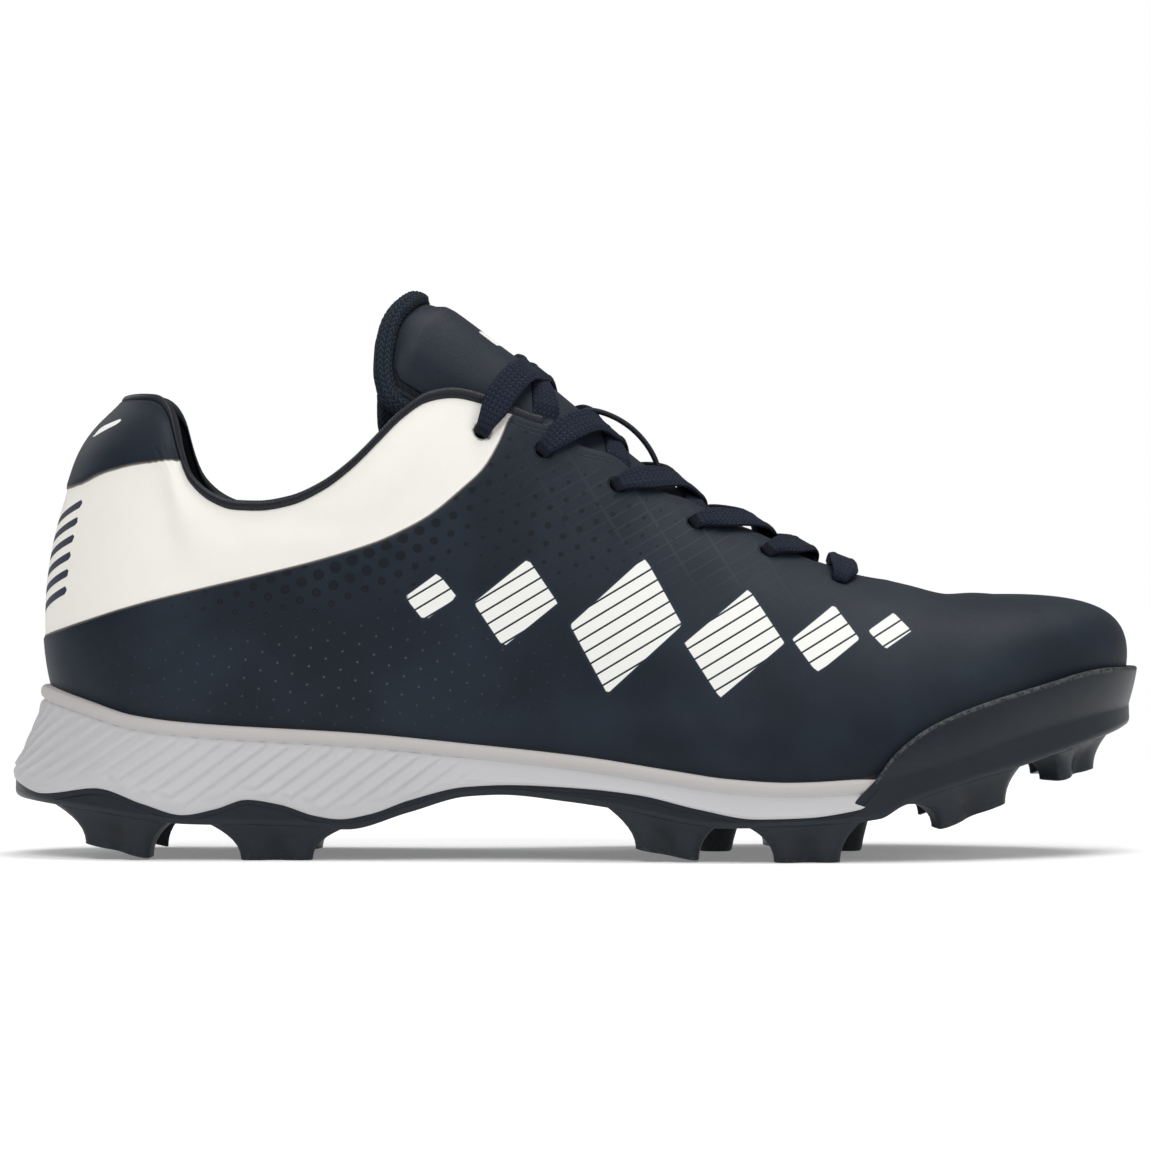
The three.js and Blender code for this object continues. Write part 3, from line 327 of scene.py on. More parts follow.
    def outline(self, turn: Any, side: Any, out: Any) -> Array:
        """The bite line from above, moved outwards.

        Args:
            turn: 0 at the back of the heel to 1 at the tip of the toe.
            side: OUTER or INNER.
            out: how far outwards.

        Returns:
            x and y in the last axis.
        """
        turn, side, out = np.broadcast_arrays(*(np.asarray(v, float) for v in (turn, side, out)))
        before = self.bite_plan(np.maximum(0, turn - 0.002), side)
        after = self.bite_plan(np.minimum(1, turn + 0.002), side)
        tangent = unit(after - before)
        normal = np.stack([-side * tangent[..., 1], side * tangent[..., 0]], -1)
        normal = np.where((turn <= 0)[..., None], (-1.0, 0.0), normal)
        normal = np.where((turn >= 1)[..., None], (1.0, 0.0), normal)
        return self.bite_plan(turn, side) + normal * out[..., None]

    def spine_along(self, turn: Any) -> Array:
        """The share of the length that a section's top reaches: the sections fan at both ends."""
        share = (1 - np.cos(np.pi * np.asarray(turn, float))) / 2
        heel = 0.116 * (1 - np.clip(share / 0.32, 0, 1)) ** 2
        toe = 0.1 * (1 - np.clip((1 - share) / 0.3, 0, 1)) ** 2
        return self.along_of(turn) + heel - toe

    def spine(self, turn: Any, height: Callable[[Any], Array]) -> Array:
        """A point over the centre line."""
        along = self.spine_along(turn)
        return np.stack([self.to_x(along), self.centre(along), height(along)], -1)

    def skin(self, turn: Any, side: Any, rise: Any) -> Array:
        """A point of the last's skin.

        Args:
            turn: 0 at the heel to 1 at the toe, and a little past either end.
            side: OUTER or INNER.
            rise: 0 at the bite line to 1 at the ridge.

        Returns:
            The points.
        """
        turn, side, rise = np.broadcast_arrays(*(np.asarray(v, float) for v in (turn, side, rise)))
        side = np.where((turn < 0) | (turn > 1), -side, side)
        turn = np.where(turn > 1, 2 - turn, np.abs(turn))
        along = self.along_of(turn)
        foot = self.bite_plan(turn, side)
        top = self.spine(turn, self.ridge)
        run = top[..., :2] - foot
        reach = np.linalg.norm(run, axis=-1)
        low = self.bite(along)
        w1, w2, w3 = 3 * rise * (1 - rise) ** 2, 3 * rise**2 * (1 - rise), rise**3
        inwards = -w1 * self.bulge(along) + (w2 * self.high_in(along) + w3) * reach
        up = w1 * self.low_up(along) + w2 * self.high_up(along) + w3
        place = foot + run * (inwards / reach)[..., None]
        return np.concatenate([place, (low + up * (top[..., 2] - low))[..., None]], -1)

    def normal(self, turn: Any, side: Any, rise: Any) -> Array:
        """The skin's outward direction."""
        turn, side, rise = np.broadcast_arrays(*(np.asarray(v, float) for v in (turn, side, rise)))
        small = 0.01
        ahead = self.skin(turn + small, side, rise) - self.skin(turn - small, side, rise)
        down = self.skin(turn, side, rise - small) - self.skin(turn, side, rise)
        return unit(np.cross(ahead, down * side[..., None]))

    def over(self, x: Any, y: Any, out: Any) -> Array:
        """A point over the top of the last, by its place in plan.

        Args:
            x: places along the shoe.
            y: places across it.
            out: how far outwards along the skin's own direction.

        Returns:
            The points.
        """
        x, y, out = np.broadcast_arrays(*(np.asarray(v, float) for v in (x, y, out)))
        middle = self.centre(self.to_along(x))
        side = np.where(y < middle, OUTER, INNER)
        offset = np.abs(y - middle)
        along = self.to_along(x)
        rise = np.ones_like(x)
        for _ in range(6):
            turn = self.turn_of(along)
            low, high = np.full_like(x, 0.35), np.ones_like(x)
            for _ in range(20):
                rise = (low + high) / 2
                point = self.skin(turn, side, rise)
                wide = np.abs(point[..., 1] - self.centre(self.to_along(point[..., 0]))) > offset
                low, high = np.where(wide, rise, low), np.where(wide, high, rise)
            along = along + self.to_along(x) - self.to_along(self.skin(turn, side, rise)[..., 0])
        turn = self.turn_of(along)
        return self.skin(turn, side, rise) + self.normal(turn, side, rise) * out[..., None]

    def collar_height(self, x: Any) -> Array:
        """The height of the upper's edge under the binding, from the side."""
        return self.collar(self.to_along(x)) - self.binding - self.gap

    def first_past(self, limit: Array, rises: Array) -> Array:
        """The rise at which each column's limit falls to 0.

        Args:
            limit: values by column and rise, above 0 below the crossing.
            rises: the rises of the columns.

        Returns:
            The rise of each column's crossing, or 1 where there is none.
        """
        over = limit <= 0
        i = np.clip(np.argmax(over, axis=1), 1, None)
        rows = np.arange(len(limit))
        a, b = limit[rows, i - 1], limit[rows, i]
        share = np.clip(a / np.where(a == b, 1, a - b), 0, 1)
        return np.where(over.any(axis=1), mix(rises[i - 1], rises[i], share), 1.0)

    def _corner_half(self, side: float) -> float:
        """Half the throat's width where the collar ends, on one side."""
        rises = np.linspace(0.42, 1, 300)
        points = self.skin(self.turn_of(self.throat_corner), side, rises)
        rise = self.first_past((self.collar_height(points[:, 0]) - points[:, 2])[None], rises)
        corner = self.skin(self.turn_of(self.throat_corner), side, rise)[0]
        return float(abs(corner[1] - self.centre(self.throat_corner)))

    def throat_half(self, x: Any, side: Any) -> Array:
        """Half the throat's width."""
        share = (self.to_along(x) - self.throat_corner) / (self.throat_front - self.throat_corner)
        corner = np.where(np.asarray(side) < 0, self.corner_half[OUTER], self.corner_half[INNER])
        half = corner * self.throat(np.clip(share, 0, 1)) * self.capped(np.clip(1 - share, 0, 1), 0.12, 2)
        return np.where(share >= 1, 0.0, half)

    def opening(self, turn: Array, side: Array, scallop: float = 0.0) -> Array:
        """The rise at which the upper ends in each section.

        Args:
            turn: the sections.
            side: OUTER or INNER for each.
            scallop: how far the eyestay's edge swings in at the eyelets and out between them.

        Returns:
            The rises, 1 where the upper is closed.
        """
        rises = np.linspace(0.42, 1, 400)
        points = self.skin(turn[:, None], side[:, None], rises[None])
        x = points[..., 0]
        count = Curve(sorted(self.eyelets), range(len(self.eyelets)))(self.to_along(x))
        first, last = min(self.eyelets), max(self.eyelets)
        fade = ramp(first, first + 0.03, self.to_along(x)) * (1 - ramp(last, last + 0.02, self.to_along(x)))
        wave = scallop * fade * np.cos(2 * np.pi * count)
        half = self.throat_half(x, side[:, None])
        across = np.abs(points[..., 1] - self.centre(self.to_along(x)))
        eyestay = np.where(half > 0, across - half + wave, 1.0)
        limit = np.where(x < self.corner_x, self.collar_height(x) - points[..., 2], eyestay)
        return self.first_past(limit, rises)

    def padding_at(self, points: Array) -> Array:
        """How thick the padding round the ankle is behind points of the skin."""
        ankle = 1 - ramp(0.24, 0.4, self.to_along(points[..., 0]))
        below = self.collar_height(points[..., 0]) - points[..., 2]
        return self.padding * ankle * (1 - ramp(self.padding_drop / 3, self.padding_drop, below))

    def eyelet(self, along: float, side: float) -> tuple[Array, Array]:
        """An eyelet's middle and the direction that it is punched in.

        Args:
            along: its place along the shoe.
            side: OUTER or INNER.

        Returns:
            The point on the skin and the outward direction.
        """
        turn = self.turn_of(along)
        top = float(self.opening(np.array([turn]), np.array([side]))[0])
        rises = np.arange(top, 0.3, -0.002)
        points = self.skin(turn, side, rises)
        far = np.linalg.norm(points - points[0], axis=1) >= self.eyelet_setback
        rise = rises[int(np.argmax(far))]
        return self.skin(turn, side, rise), self.normal(turn, side, rise)

    def settle(self, low: Vector) -> None:
        """Finds where the frame's origin lies, from the insole's lowest corner.

        Args:
            low: the insole's lowest corner in the frame, in metres.
        """
        inset = -(self.feather + self.wall + self.gap + 0.7)
        turns = np.linspace(0, 1, 33)
        edge = np.vstack([self.outline(turns, side, inset) for side in (OUTER, INNER)])
        bed = self.bed(self.along_of(turns))
        corner = np.array([edge[:, 0].min(), edge[:, 1].min(), bed.min() + self.gap])
        self.shift = np.array(low) / MM - corner

    def columns(self, count: int, dense: Sequence[tuple[float, float, float]] = ()) -> Array:
        """Turns that are evenly spaced round the bite line, and closer at named places.

        Args:
            count: how many steps on a side.
            dense: along, width and weight of each place with closer columns.

        Returns:
            The turns from 0 to 1.
        """
        fine = np.linspace(0, 1, 2001)
        step = np.linalg.norm(np.diff(self.bite_plan(fine, OUTER), axis=0), axis=1)
        middle = self.to_along(self.bite_plan((fine[1:] + fine[:-1]) / 2, OUTER)[:, 0])
        weight = 1 + sum(share * bell(middle, place, width) for place, width, share in dense)
        total = np.concatenate([[0], np.cumsum(step * weight)])
        return np.interp(np.linspace(0, total[-1], count + 1), total, fine)


# Meshes


class Face(IntEnum):
    """The finish that a face of a two-sided piece wears."""

    OUTSIDE = 0
    LINING = 1


@dataclass
class Shell:
    """Points and faces in millimetres, with numbers kept for each point."""

    points: Array
    faces: list[tuple[int, ...]]
    marks: dict[str, Array] = field(default_factory=dict)
    slots: list[int] = field(default_factory=list)

    def __add__(self, other: "Shell") -> "Shell":
        """Both shells as one."""
        count = len(self.points)
        faces = self.faces + [tuple(i + count for i in face) for face in other.faces]
        marks = {
            name: np.concatenate([self.marks[name], other.marks[name]])
            for name in self.marks
            if name in other.marks
        }
        return Shell(np.vstack([self.points, other.points]), faces, marks, self.slots + other.slots)


def grid_shell(points: Array, wrap_columns: bool = False, wrap_rows: bool = False) -> Shell:
    """A shell from a grid of points.

    Args:
        points: columns by rows by three.
        wrap_columns: whether the last column joins the first.
        wrap_rows: whether the last row joins the first.

    Returns:
        The shell, facing left of the columns going up the rows.
    """
    columns, rows = points.shape[:2]
    faces = []
    for i in range(columns if wrap_columns else columns - 1):
        for j in range(rows if wrap_rows else rows - 1):
            k, m = (i + 1) % columns, (j + 1) % rows
            faces.append((i * rows + j, k * rows + j, k * rows + m, i * rows + m))
    return Shell(points.reshape(-1, 3), faces)


def capped_tube(rings: Array) -> Shell:
    """A closed tube through rings of points, with a fan over each end."""
    shell = grid_shell(rings, wrap_rows=True)
    columns, rows = rings.shape[:2]
    count = len(shell.points)
    shell.points = np.vstack([shell.points, rings[0].mean(axis=0), rings[-1].mean(axis=0)])
    last = (columns - 1) * rows
    for j in range(rows):
        k = (j + 1) % rows
        shell.faces.append((j, k, count))
        shell.faces.append((last + k, last + j, count + 1))
    return shell


def make_piece(
    name: str,
    shell: Shell,
    finishes: Sequence[bpy.types.Material],
    shift: Array,
    replaced: Sequence[str],
    weld: float = 0.004,
    flat_angle: float = 50.0,
) -> bpy.types.Object:
    """Makes one piece of the shoe from a shell, and hangs it on the frame.

    Args:
        name: the piece's name.
        shell: its points, faces and marks in millimetres.
        finishes: its materials, by slot number.
        shift: from the last's place to the frame's.
        replaced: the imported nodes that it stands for.
        weld: points nearer than this become one.
        flat_angle: edges sharper than this, in degrees, stay sharp.

    Returns:
        The new object.
    """
    keys = np.round(shell.points / weld).astype(np.int64)
    _, first, index = np.unique(keys, axis=0, return_index=True, return_inverse=True)
    index = index.reshape(-1)
    faces, slots = [], []
    for number, face in enumerate(shell.faces):
        kept = list(dict.fromkeys(int(index[i]) for i in face))
        if len(kept) >= 3:
            faces.append(kept)
            slots.append(shell.slots[number] if shell.slots else Face.OUTSIDE)
    mesh = bpy.data.meshes.new(name)
    mesh.from_pydata(((shell.points[first] + shift) * MM).tolist(), [], faces)
    for material in finishes:
        mesh.materials.append(material)
    mesh.polygons.foreach_set("material_index", slots)
    mesh.polygons.foreach_set("use_smooth", [True] * len(faces))
    for mark, values in shell.marks.items():
        layer = mesh.attributes.new(mark, "FLOAT", "POINT")
        layer.data.foreach_set("value", np.asarray(values, np.float32)[first])
    mesh.update()
    mesh.set_sharp_from_angle(angle=math.radians(flat_angle))
    piece = bpy.data.objects.new(name, mesh)
    bpy.context.scene.collection.objects.link(piece)
    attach(piece, ROOT)
    if replaced:
        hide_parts(*replaced)
    LOG.info("%s: %d points, %d faces", name, len(first), len(faces))
    return piece


def turned_outwards(shell: Shell) -> Shell:
    """The shell with its faces turned outwards, judged by its volume."""
    points = shell.points
    volume = 0.0
    for face in shell.faces:
        for j in range(1, len(face) - 1):
            volume += float(points[face[0]] @ np.cross(points[face[j]], points[face[j + 1]]))
    if volume < 0:
        shell.faces = [tuple(reversed(face)) for face in shell.faces]
    return shell


# Shader maths


class Wire:
    """A number that runs over the surface, for use in expressions."""

    def __init__(self, graph: "Graph", socket: bpy.types.NodeSocket) -> None:
        """Wraps one output socket of a graph."""
        self.graph = graph
        self.socket = socket

    def __add__(self, other: "Number") -> "Wire":
        """The sum."""
        return self.graph.maths("ADD", self, other)

    def __radd__(self, other: "Number") -> "Wire":
        """The sum, from the right."""
        return self.graph.maths("ADD", other, self)

    def __sub__(self, other: "Number") -> "Wire":
        """The difference."""
        return self.graph.maths("SUBTRACT", self, other)

    def __rsub__(self, other: "Number") -> "Wire":
        """The difference, from the right."""
        return self.graph.maths("SUBTRACT", other, self)

    def __mul__(self, other: "Number") -> "Wire":
        """The product."""
        return self.graph.maths("MULTIPLY", self, other)

    def __rmul__(self, other: "Number") -> "Wire":
        """The product, from the right."""
        return self.graph.maths("MULTIPLY", other, self)

    def __truediv__(self, other: "Number") -> "Wire":
        """The quotient."""
        return self.graph.maths("DIVIDE", self, other)

    def __abs__(self) -> "Wire":
        """The size without its sign."""
        return self.graph.maths("ABSOLUTE", self)

    def least(self, other: "Number") -> "Wire":
        """The smaller of two."""
        return self.graph.maths("MINIMUM", self, other)

    def most(self, other: "Number") -> "Wire":
        """The larger of two."""
        return self.graph.maths("MAXIMUM", self, other)

    def sine(self) -> "Wire":
        """The sine."""
        return self.graph.maths("SINE", self)

    def root(self) -> "Wire":
        """The square root."""
        return self.graph.maths("SQRT", self)

    def part(self) -> "Wire":
        """What is left over a whole number."""
        return self.graph.maths("FRACT", self)

    def floor(self) -> "Wire":
        """The whole number below."""
        return self.graph.maths("FLOOR", self)

    def step(self, low: float, high: float) -> "Wire":
        """A soft step from 0 to 1.

        Args:
            low: where it leaves 0.
            high: where it reaches 1.

        Returns:
            The step.
        """
        node = self.graph.node(
            "ShaderNodeMapRange",
            {"interpolation_type": "SMOOTHSTEP", "clamp": True},
            {"Value": self, "From Min": low, "From Max": high},
        )
        return Wire(self.graph, node.outputs["Result"])

    def fall(self, low: float, high: float) -> "Wire":
        """A soft step from 1 to 0."""
        return 1 - self.step(low, high)


Number = Union[Wire, float, int]


class Graph:
    """The nodes of one material."""

    def __init__(self, name: str) -> None:
        """Starts a material that has one shader.

        Args:
            name: the material's name.
        """
        self.material = bpy.data.materials.new(name)
        self.material.use_nodes = True
        self.tree = self.material.node_tree
        self.tree.nodes.clear()
        self.shader = self.node("ShaderNodeBsdfPrincipled", {}, {})
        output = self.node("ShaderNodeOutputMaterial", {}, {})
        self.tree.links.new(self.shader.outputs["BSDF"], output.inputs["Surface"])

    def node(self, kind: str, settings: dict[str, Any], inputs: dict[Union[str, int], Any]) -> bpy.types.Node:
        """Makes one node.

        Args:
            kind: the node's type.
            settings: its own settings, set first. A "stops" entry fills a colour ramp.
            inputs: its sockets by name or number, as values, wires or sockets.

        Returns:
            The node.
        """
        node = self.tree.nodes.new(kind)
        for key, value in settings.items():
            if key == "stops":
                ramp_stops = node.color_ramp.elements
                while len(ramp_stops) < len(value):
                    ramp_stops.new(0.5)
                for stop, (place, colour) in zip(ramp_stops, value):
                    stop.position, stop.color = place, (*colour, 1.0)
            else:
                setattr(node, key, value)
        for key, value in inputs.items():
            self.plug(node.inputs[key], value)
        return node

    def plug(self, socket: bpy.types.NodeSocket, value: Any) -> None:
        """Sets a socket or links it.

        Args:
            socket: the input socket.
            value: a number, a colour, a wire or an output socket.
        """
        if isinstance(value, Wire):
            self.tree.links.new(value.socket, socket)
        elif isinstance(value, bpy.types.NodeSocket):
            self.tree.links.new(value, socket)
        elif socket.type == "RGBA" and len(value) == 3:
            socket.default_value = (*value, 1.0)
        else:
            socket.default_value = value

    def maths(self, operation: str, first: Number, second: Optional[Number] = None) -> Wire:
        """One Math node."""
        inputs: dict[Union[str, int], Any] = {0: first}
        if second is not None:
            inputs[1] = second
        node = self.node("ShaderNodeMath", {"operation": operation}, inputs)
        return Wire(self, node.outputs["Value"])

    def mark(self, name: str) -> Wire:
        """A number kept on the mesh's points."""
        node = self.node("ShaderNodeAttribute", {"attribute_name": name}, {})
        return Wire(self, node.outputs["Fac"])

    def place(self) -> tuple[bpy.types.NodeSocket, Wire, Wire, Wire]:
        """The place on the object: the vector in metres, and x, y and z in millimetres."""
        vector = self.node("ShaderNodeTexCoord", {}, {}).outputs["Object"]
        parts = self.node("ShaderNodeSeparateXYZ", {}, {"Vector": vector})
        x, y, z = (Wire(self, parts.outputs[i]) * (1 / MM) for i in range(3))
        return vector, x, y, z

    def combine(self, x: Number, y: Number, z: Number = 0.0) -> bpy.types.NodeSocket:
        """A vector of three numbers."""
        return self.node("ShaderNodeCombineXYZ", {}, {"X": x, "Y": y, "Z": z}).outputs["Vector"]

    def noise(self, vector: Any, size: float, detail: float = 2.0, rough: float = 0.5) -> Wire:
        """Soft noise."""
        inputs = {"Vector": vector, "Scale": 1 / (size * MM), "Detail": detail, "Roughness": rough}
        return Wire(self, self.node("ShaderNodeTexNoise", {}, inputs).outputs[0])

    def blend(self, share: Number, first: Any, second: Any) -> bpy.types.NodeSocket:
        """A colour between two."""
        node = self.node(
            "ShaderNodeMix", {"data_type": "RGBA", "clamp_factor": True}, {0: share, 6: first, 7: second}
        )
        return node.outputs[2]

    def finish(
        self,
        colour: Any,
        roughness: Number,
        height: Optional[Wire] = None,
        fixed: Optional[dict[str, Any]] = None,
    ) -> bpy.types.Material:
        """Links the shader and gives the material.

        Args:
            colour: the base colour.
            roughness: the roughness.
            height: the relief in millimetres.
            fixed: other sockets that are the same all over.

        Returns:
            The material.
        """
        self.plug(self.shader.inputs["Base Color"], colour)
        self.plug(self.shader.inputs["Roughness"], roughness)
        for key, value in (fixed or {}).items():
            self.plug(self.shader.inputs[key], value)
        if height is not None:
            bump = self.node("ShaderNodeBump", {}, {"Height": height * MM, "Distance": 1.0, "Strength": 1.0})
            self.plug(self.shader.inputs["Normal"], bump.outputs["Normal"])
        return self.material


# Finishes


@dataclass(frozen=True)
class UpperSkin:
    """The upper's outside: navy synthetic, the pale heel panel, dots, faint lines and stitches."""

    navy: Colour = (0.0035, 0.0075, 0.0145)
    navy_light: Colour = (0.0135, 0.022, 0.035)
    dot_navy: Colour = (0.0015, 0.003, 0.007)
    pale: Colour = (0.82, 0.80, 0.745)
    seam: Colour = (0.07, 0.058, 0.05)
    thread: Colour = (0.010, 0.012, 0.018)
    dot_pitch: float = 4.6
    hatch_pitch: float = 3.1
    hatch_line: float = 0.15
    hatch_lean: float = 31.0

    def _dots(self, graph: Graph, x: Wire, z: Wire) -> Wire:
        """How far a place lies inside the nearest halftone dot.

        Args:
            graph: the material's graph.
            x: the place along the shoe.
            z: the height.

        Returns:
            Millimetres, above 0 inside a dot.
        """
        lean = math.radians(24)
        u = (x * math.cos(lean) + z * math.sin(lean)) / self.dot_pitch
        v = (z * math.cos(lean) - x * math.sin(lean)) / (self.dot_pitch * math.sqrt(3))
        near = []
        for shift in (0.0, 0.5):
            du = ((u + shift).part() - 0.5) * self.dot_pitch
            dv = ((v + shift).part() - 0.5) * (self.dot_pitch * math.sqrt(3))
            near.append((du * du + dv * dv).root())
        return graph.mark("dot") - near[0].least(near[1])

    def material(self) -> bpy.types.Material:
        """The finished material."""
        graph = Graph("upper_synthetic")
        vector, x, _, z = graph.place()
        grain = graph.noise(vector, 0.55, 3.0, 0.6)
        cloud = graph.noise(vector, 22.0, 2.0)
        speck = graph.noise(vector, 0.3, 1.0)
        seam = graph.mark("seam")
        tab = graph.mark("tab")
        edge = graph.mark("edge")
        hole = graph.mark("hole")
        art = graph.mark("art")
        bars = graph.mark("bars")
        bite = graph.mark("bite")
        dots = self._dots(graph, x, z)
        pale = seam.step(-0.12, 0.12) * tab.fall(-0.12, 0.12)
        navy_area = 1 - pale
        light = graph.maths("MULTIPLY", cloud.step(0.3, 0.75), 0.55) + grain * 0.35
        light = light + speck.step(0.62, 0.8) * 0.35
        colour = graph.blend(light, self.navy, self.navy_light)
        dot_mask = dots.step(-0.1, 0.1) * navy_area
        colour = graph.blend(dot_mask * 0.8, colour, self.dot_navy)
        fleck = graph.mark("fleck") * (graph.mark("dot") - dots).fall(0.22, 0.36)
        colour = graph.blend(fleck * 0.5, colour, (0.10, 0.12, 0.145))
        lines = self._line_work(graph, x, z)
        colour = graph.blend(lines * navy_area * 0.2, colour, (0.05, 0.058, 0.072))
        lean = math.radians(self.hatch_lean)
        hatch = ((z * math.cos(lean) - x * math.sin(lean)) / self.hatch_pitch).part()
        hatch = hatch.fall(self.hatch_line - 0.04, self.hatch_line + 0.04)
        white_art = art.step(-0.12, 0.12) * (1 - hatch)
        rim_art = art.step(-0.75, -0.65) * art.fall(-0.12, 0.12)
        colour = graph.blend(rim_art * 0.6, colour, (0.012, 0.020, 0.034))
        colour = graph.blend(white_art * navy_area, colour, (0.80, 0.80, 0.77))
        shade = graph.noise(vector, 9.0, 2.0).step(0.35, 0.8)
        pale_colour = graph.blend(shade * 0.12, self.pale, (0.70, 0.685, 0.65))
        pale_colour = graph.blend(bars.step(-0.12, 0.12), pale_colour, (0.020, 0.026, 0.05))
        colour = graph.blend(pale, colour, pale_colour)
        patch = graph.mark("patch").step(-0.1, 0.1)
        colour = graph.blend(patch, colour, (0.80, 0.79, 0.75))
        seam_line = abs(seam).fall(0.12, 0.42) * tab.fall(-0.3, 0.0)
        tab_line = abs(tab).fall(0.12, 0.4) * seam.step(-0.2, 0.2)
        colour = graph.blend(seam_line.most(tab_line) * 0.85, colour, self.seam)
        dash = (graph.mark("run") / 2.3).part().fall(0.62, 0.7)
        stitch = abs(edge - 1.7).fall(0.16, 0.34) * dash * graph.mark("throat")
        second = abs(edge - 2.9).fall(0.14, 0.3) * (graph.mark("run") / 2.3 + 0.5).part().fall(0.62, 0.7)
        stitch = stitch.most(second * graph.mark("throat") * navy_area)
        colour = graph.blend(stitch * 0.8, colour, self.thread)
        punched = hole.fall(0.25, 0.75)
        colour = graph.blend(punched * 0.7, colour, (0.008, 0.010, 0.016))
        glue = bite.fall(0.25, 0.9)
        colour = graph.blend(glue * 0.75, colour, (0.055, 0.042, 0.034))
        rough = 0.50 + grain * 0.10 - pale * 0.02 + dot_mask * 0.06 - white_art * 0.08 + glue * 0.1
        relief = grain * 0.05 + speck * 0.03 + dot_mask * 0.04 + white_art * 0.03
        relief = relief - seam_line * 0.22 - tab_line * 0.2 - stitch * 0.12 - punched * 0.25 + lines * 0.02
        fixed = {"Sheen Weight": 0.03, "Sheen Roughness": 0.5, "Specular IOR Level": 0.2}
        return graph.finish(colour, rough, relief, fixed)

    def _line_work(self, graph: Graph, x: Wire, z: Wire) -> Wire:
        """Faint slanted lines of the print near the eyelets.

        Args:
            graph: the material's graph.
            x: the place along the shoe.
            z: the height.

        Returns:
            1 on a line.
        """
        region = graph.mark("print")
        lean = math.radians(30)
        first = ((z * math.cos(lean) - x * math.sin(lean)) / 3.1).part()
        steep = math.radians(-58)
        second = ((z * math.cos(steep) - x * math.sin(steep)) / 9.5).part()
        thin = abs(first - 0.5).fall(0.05, 0.09)
        wide = abs(second - 0.5).fall(0.03, 0.05)
        return region * thin.most(wide)


@dataclass(frozen=True)
class Lining:
    """The dark padded lining inside the collar and the foot."""

    dark: Colour = (0.006, 0.008, 0.013)
    light: Colour = (0.020, 0.025, 0.036)
    rib: float = 1.1

    def material(self, name: str) -> bpy.types.Material:
        """The finished material under a name."""
        graph = Graph(name)
        vector, x, _, z = graph.place()
        fuzz = graph.noise(vector, 0.4, 3.0, 0.65)
        weave = (x * (math.tau / self.rib)).sine() * (z * (math.tau / self.rib)).sine()
        colour = graph.blend(fuzz * 0.6 + weave * 0.2, self.dark, self.light)
        relief = weave * 0.06 + fuzz * 0.08
        return graph.finish(colour, 0.85 + fuzz * 0.1, relief, {"Specular IOR Level": 0.2})


@dataclass(frozen=True)
class Foam:
    """The white midsole foam: very fine pebbles, a little warmth on the lip, faint dirt, and painted shade
    darkening the rib grooves.
    """

    white: Colour = (0.51, 0.51, 0.525)
    warm: Colour = (0.46, 0.435, 0.42)

    def material(self) -> bpy.types.Material:
        """The finished material."""
        graph = Graph("foam")
        vector = graph.place()[0]
        pebble = graph.noise(vector, 0.5, 2.0, 0.6)
        cloud = graph.noise(vector, 14.0, 2.0)
        lip = graph.mark("lip")
        groove = graph.mark("groove")
        colour = graph.blend(lip * 0.7 + cloud * 0.2, self.white, self.warm)
        # Painted shade: the foam is darkened in the recessed grooves between the ribs.
        colour = graph.blend(groove * 0.28, colour, (0.44, 0.43, 0.46))
        speck = graph.noise(vector, 1.7, 1.0).step(0.72, 0.78)
        colour = graph.blend(speck * 0.18, colour, (0.40, 0.37, 0.34))
        return graph.finish(colour, 0.58 + pebble * 0.12, pebble * 0.045, {"Specular IOR Level": 0.4})


@dataclass(frozen=True)
class SoleRubber:
    """The moulded sole: dark navy with a satin gloss, fine matt texture, a scuffed top edge, and painted
    shade down the studs' flutes.
    """

    navy: Colour = (0.0045, 0.0075, 0.0125)
    light: Colour = (0.013, 0.0195, 0.028)
    scuff: Colour = (0.12, 0.125, 0.125)

    def material(self) -> bpy.types.Material:
        """The finished material."""
        graph = Graph("sole_rubber")
        vector, x, y, z = graph.place()
        fine = graph.noise(vector, 0.35, 2.0, 0.6)
        cloud = graph.noise(vector, 12.0, 3.0)
        streak = graph.noise(graph.combine(x * 0.0002, y * 0.0002, z * 0.001), 1.2, 3.0)
        rim = graph.mark("rim")
        tip = graph.mark("tip")
        flute = graph.mark("flute")
        colour = graph.blend(cloud * 0.6 + streak.step(0.5, 0.8) * 0.25, self.navy, self.light)
        # Painted shade: the flute mark darkens the rubber down each stud's recessed flute.
        colour = graph.blend(flute * 0.6, colour, (0.004, 0.006, 0.010))
        line = abs(graph.mark("strip") - 2.2).fall(0.12, 0.35)
        colour = graph.blend(line * 0.75, colour, (0.003, 0.005, 0.009))
        worn = rim.fall(0.1, 0.8) * graph.noise(vector, 0.9, 4.0, 0.7).step(0.38, 0.62)
        colour = graph.blend(worn * 0.6, colour, self.scuff)
        rubbed = tip * graph.noise(vector, 1.4, 3.0).step(0.45, 0.7)
        colour = graph.blend(rubbed * 0.35, colour, (0.07, 0.08, 0.085))
        rough = 0.34 + fine * 0.12 + worn * 0.3 + rubbed * 0.15
        relief = fine * 0.03 + worn * 0.1 - streak * 0.02 - line * 0.2
        return graph.finish(colour, rough, relief, {"Specular IOR Level": 0.3})


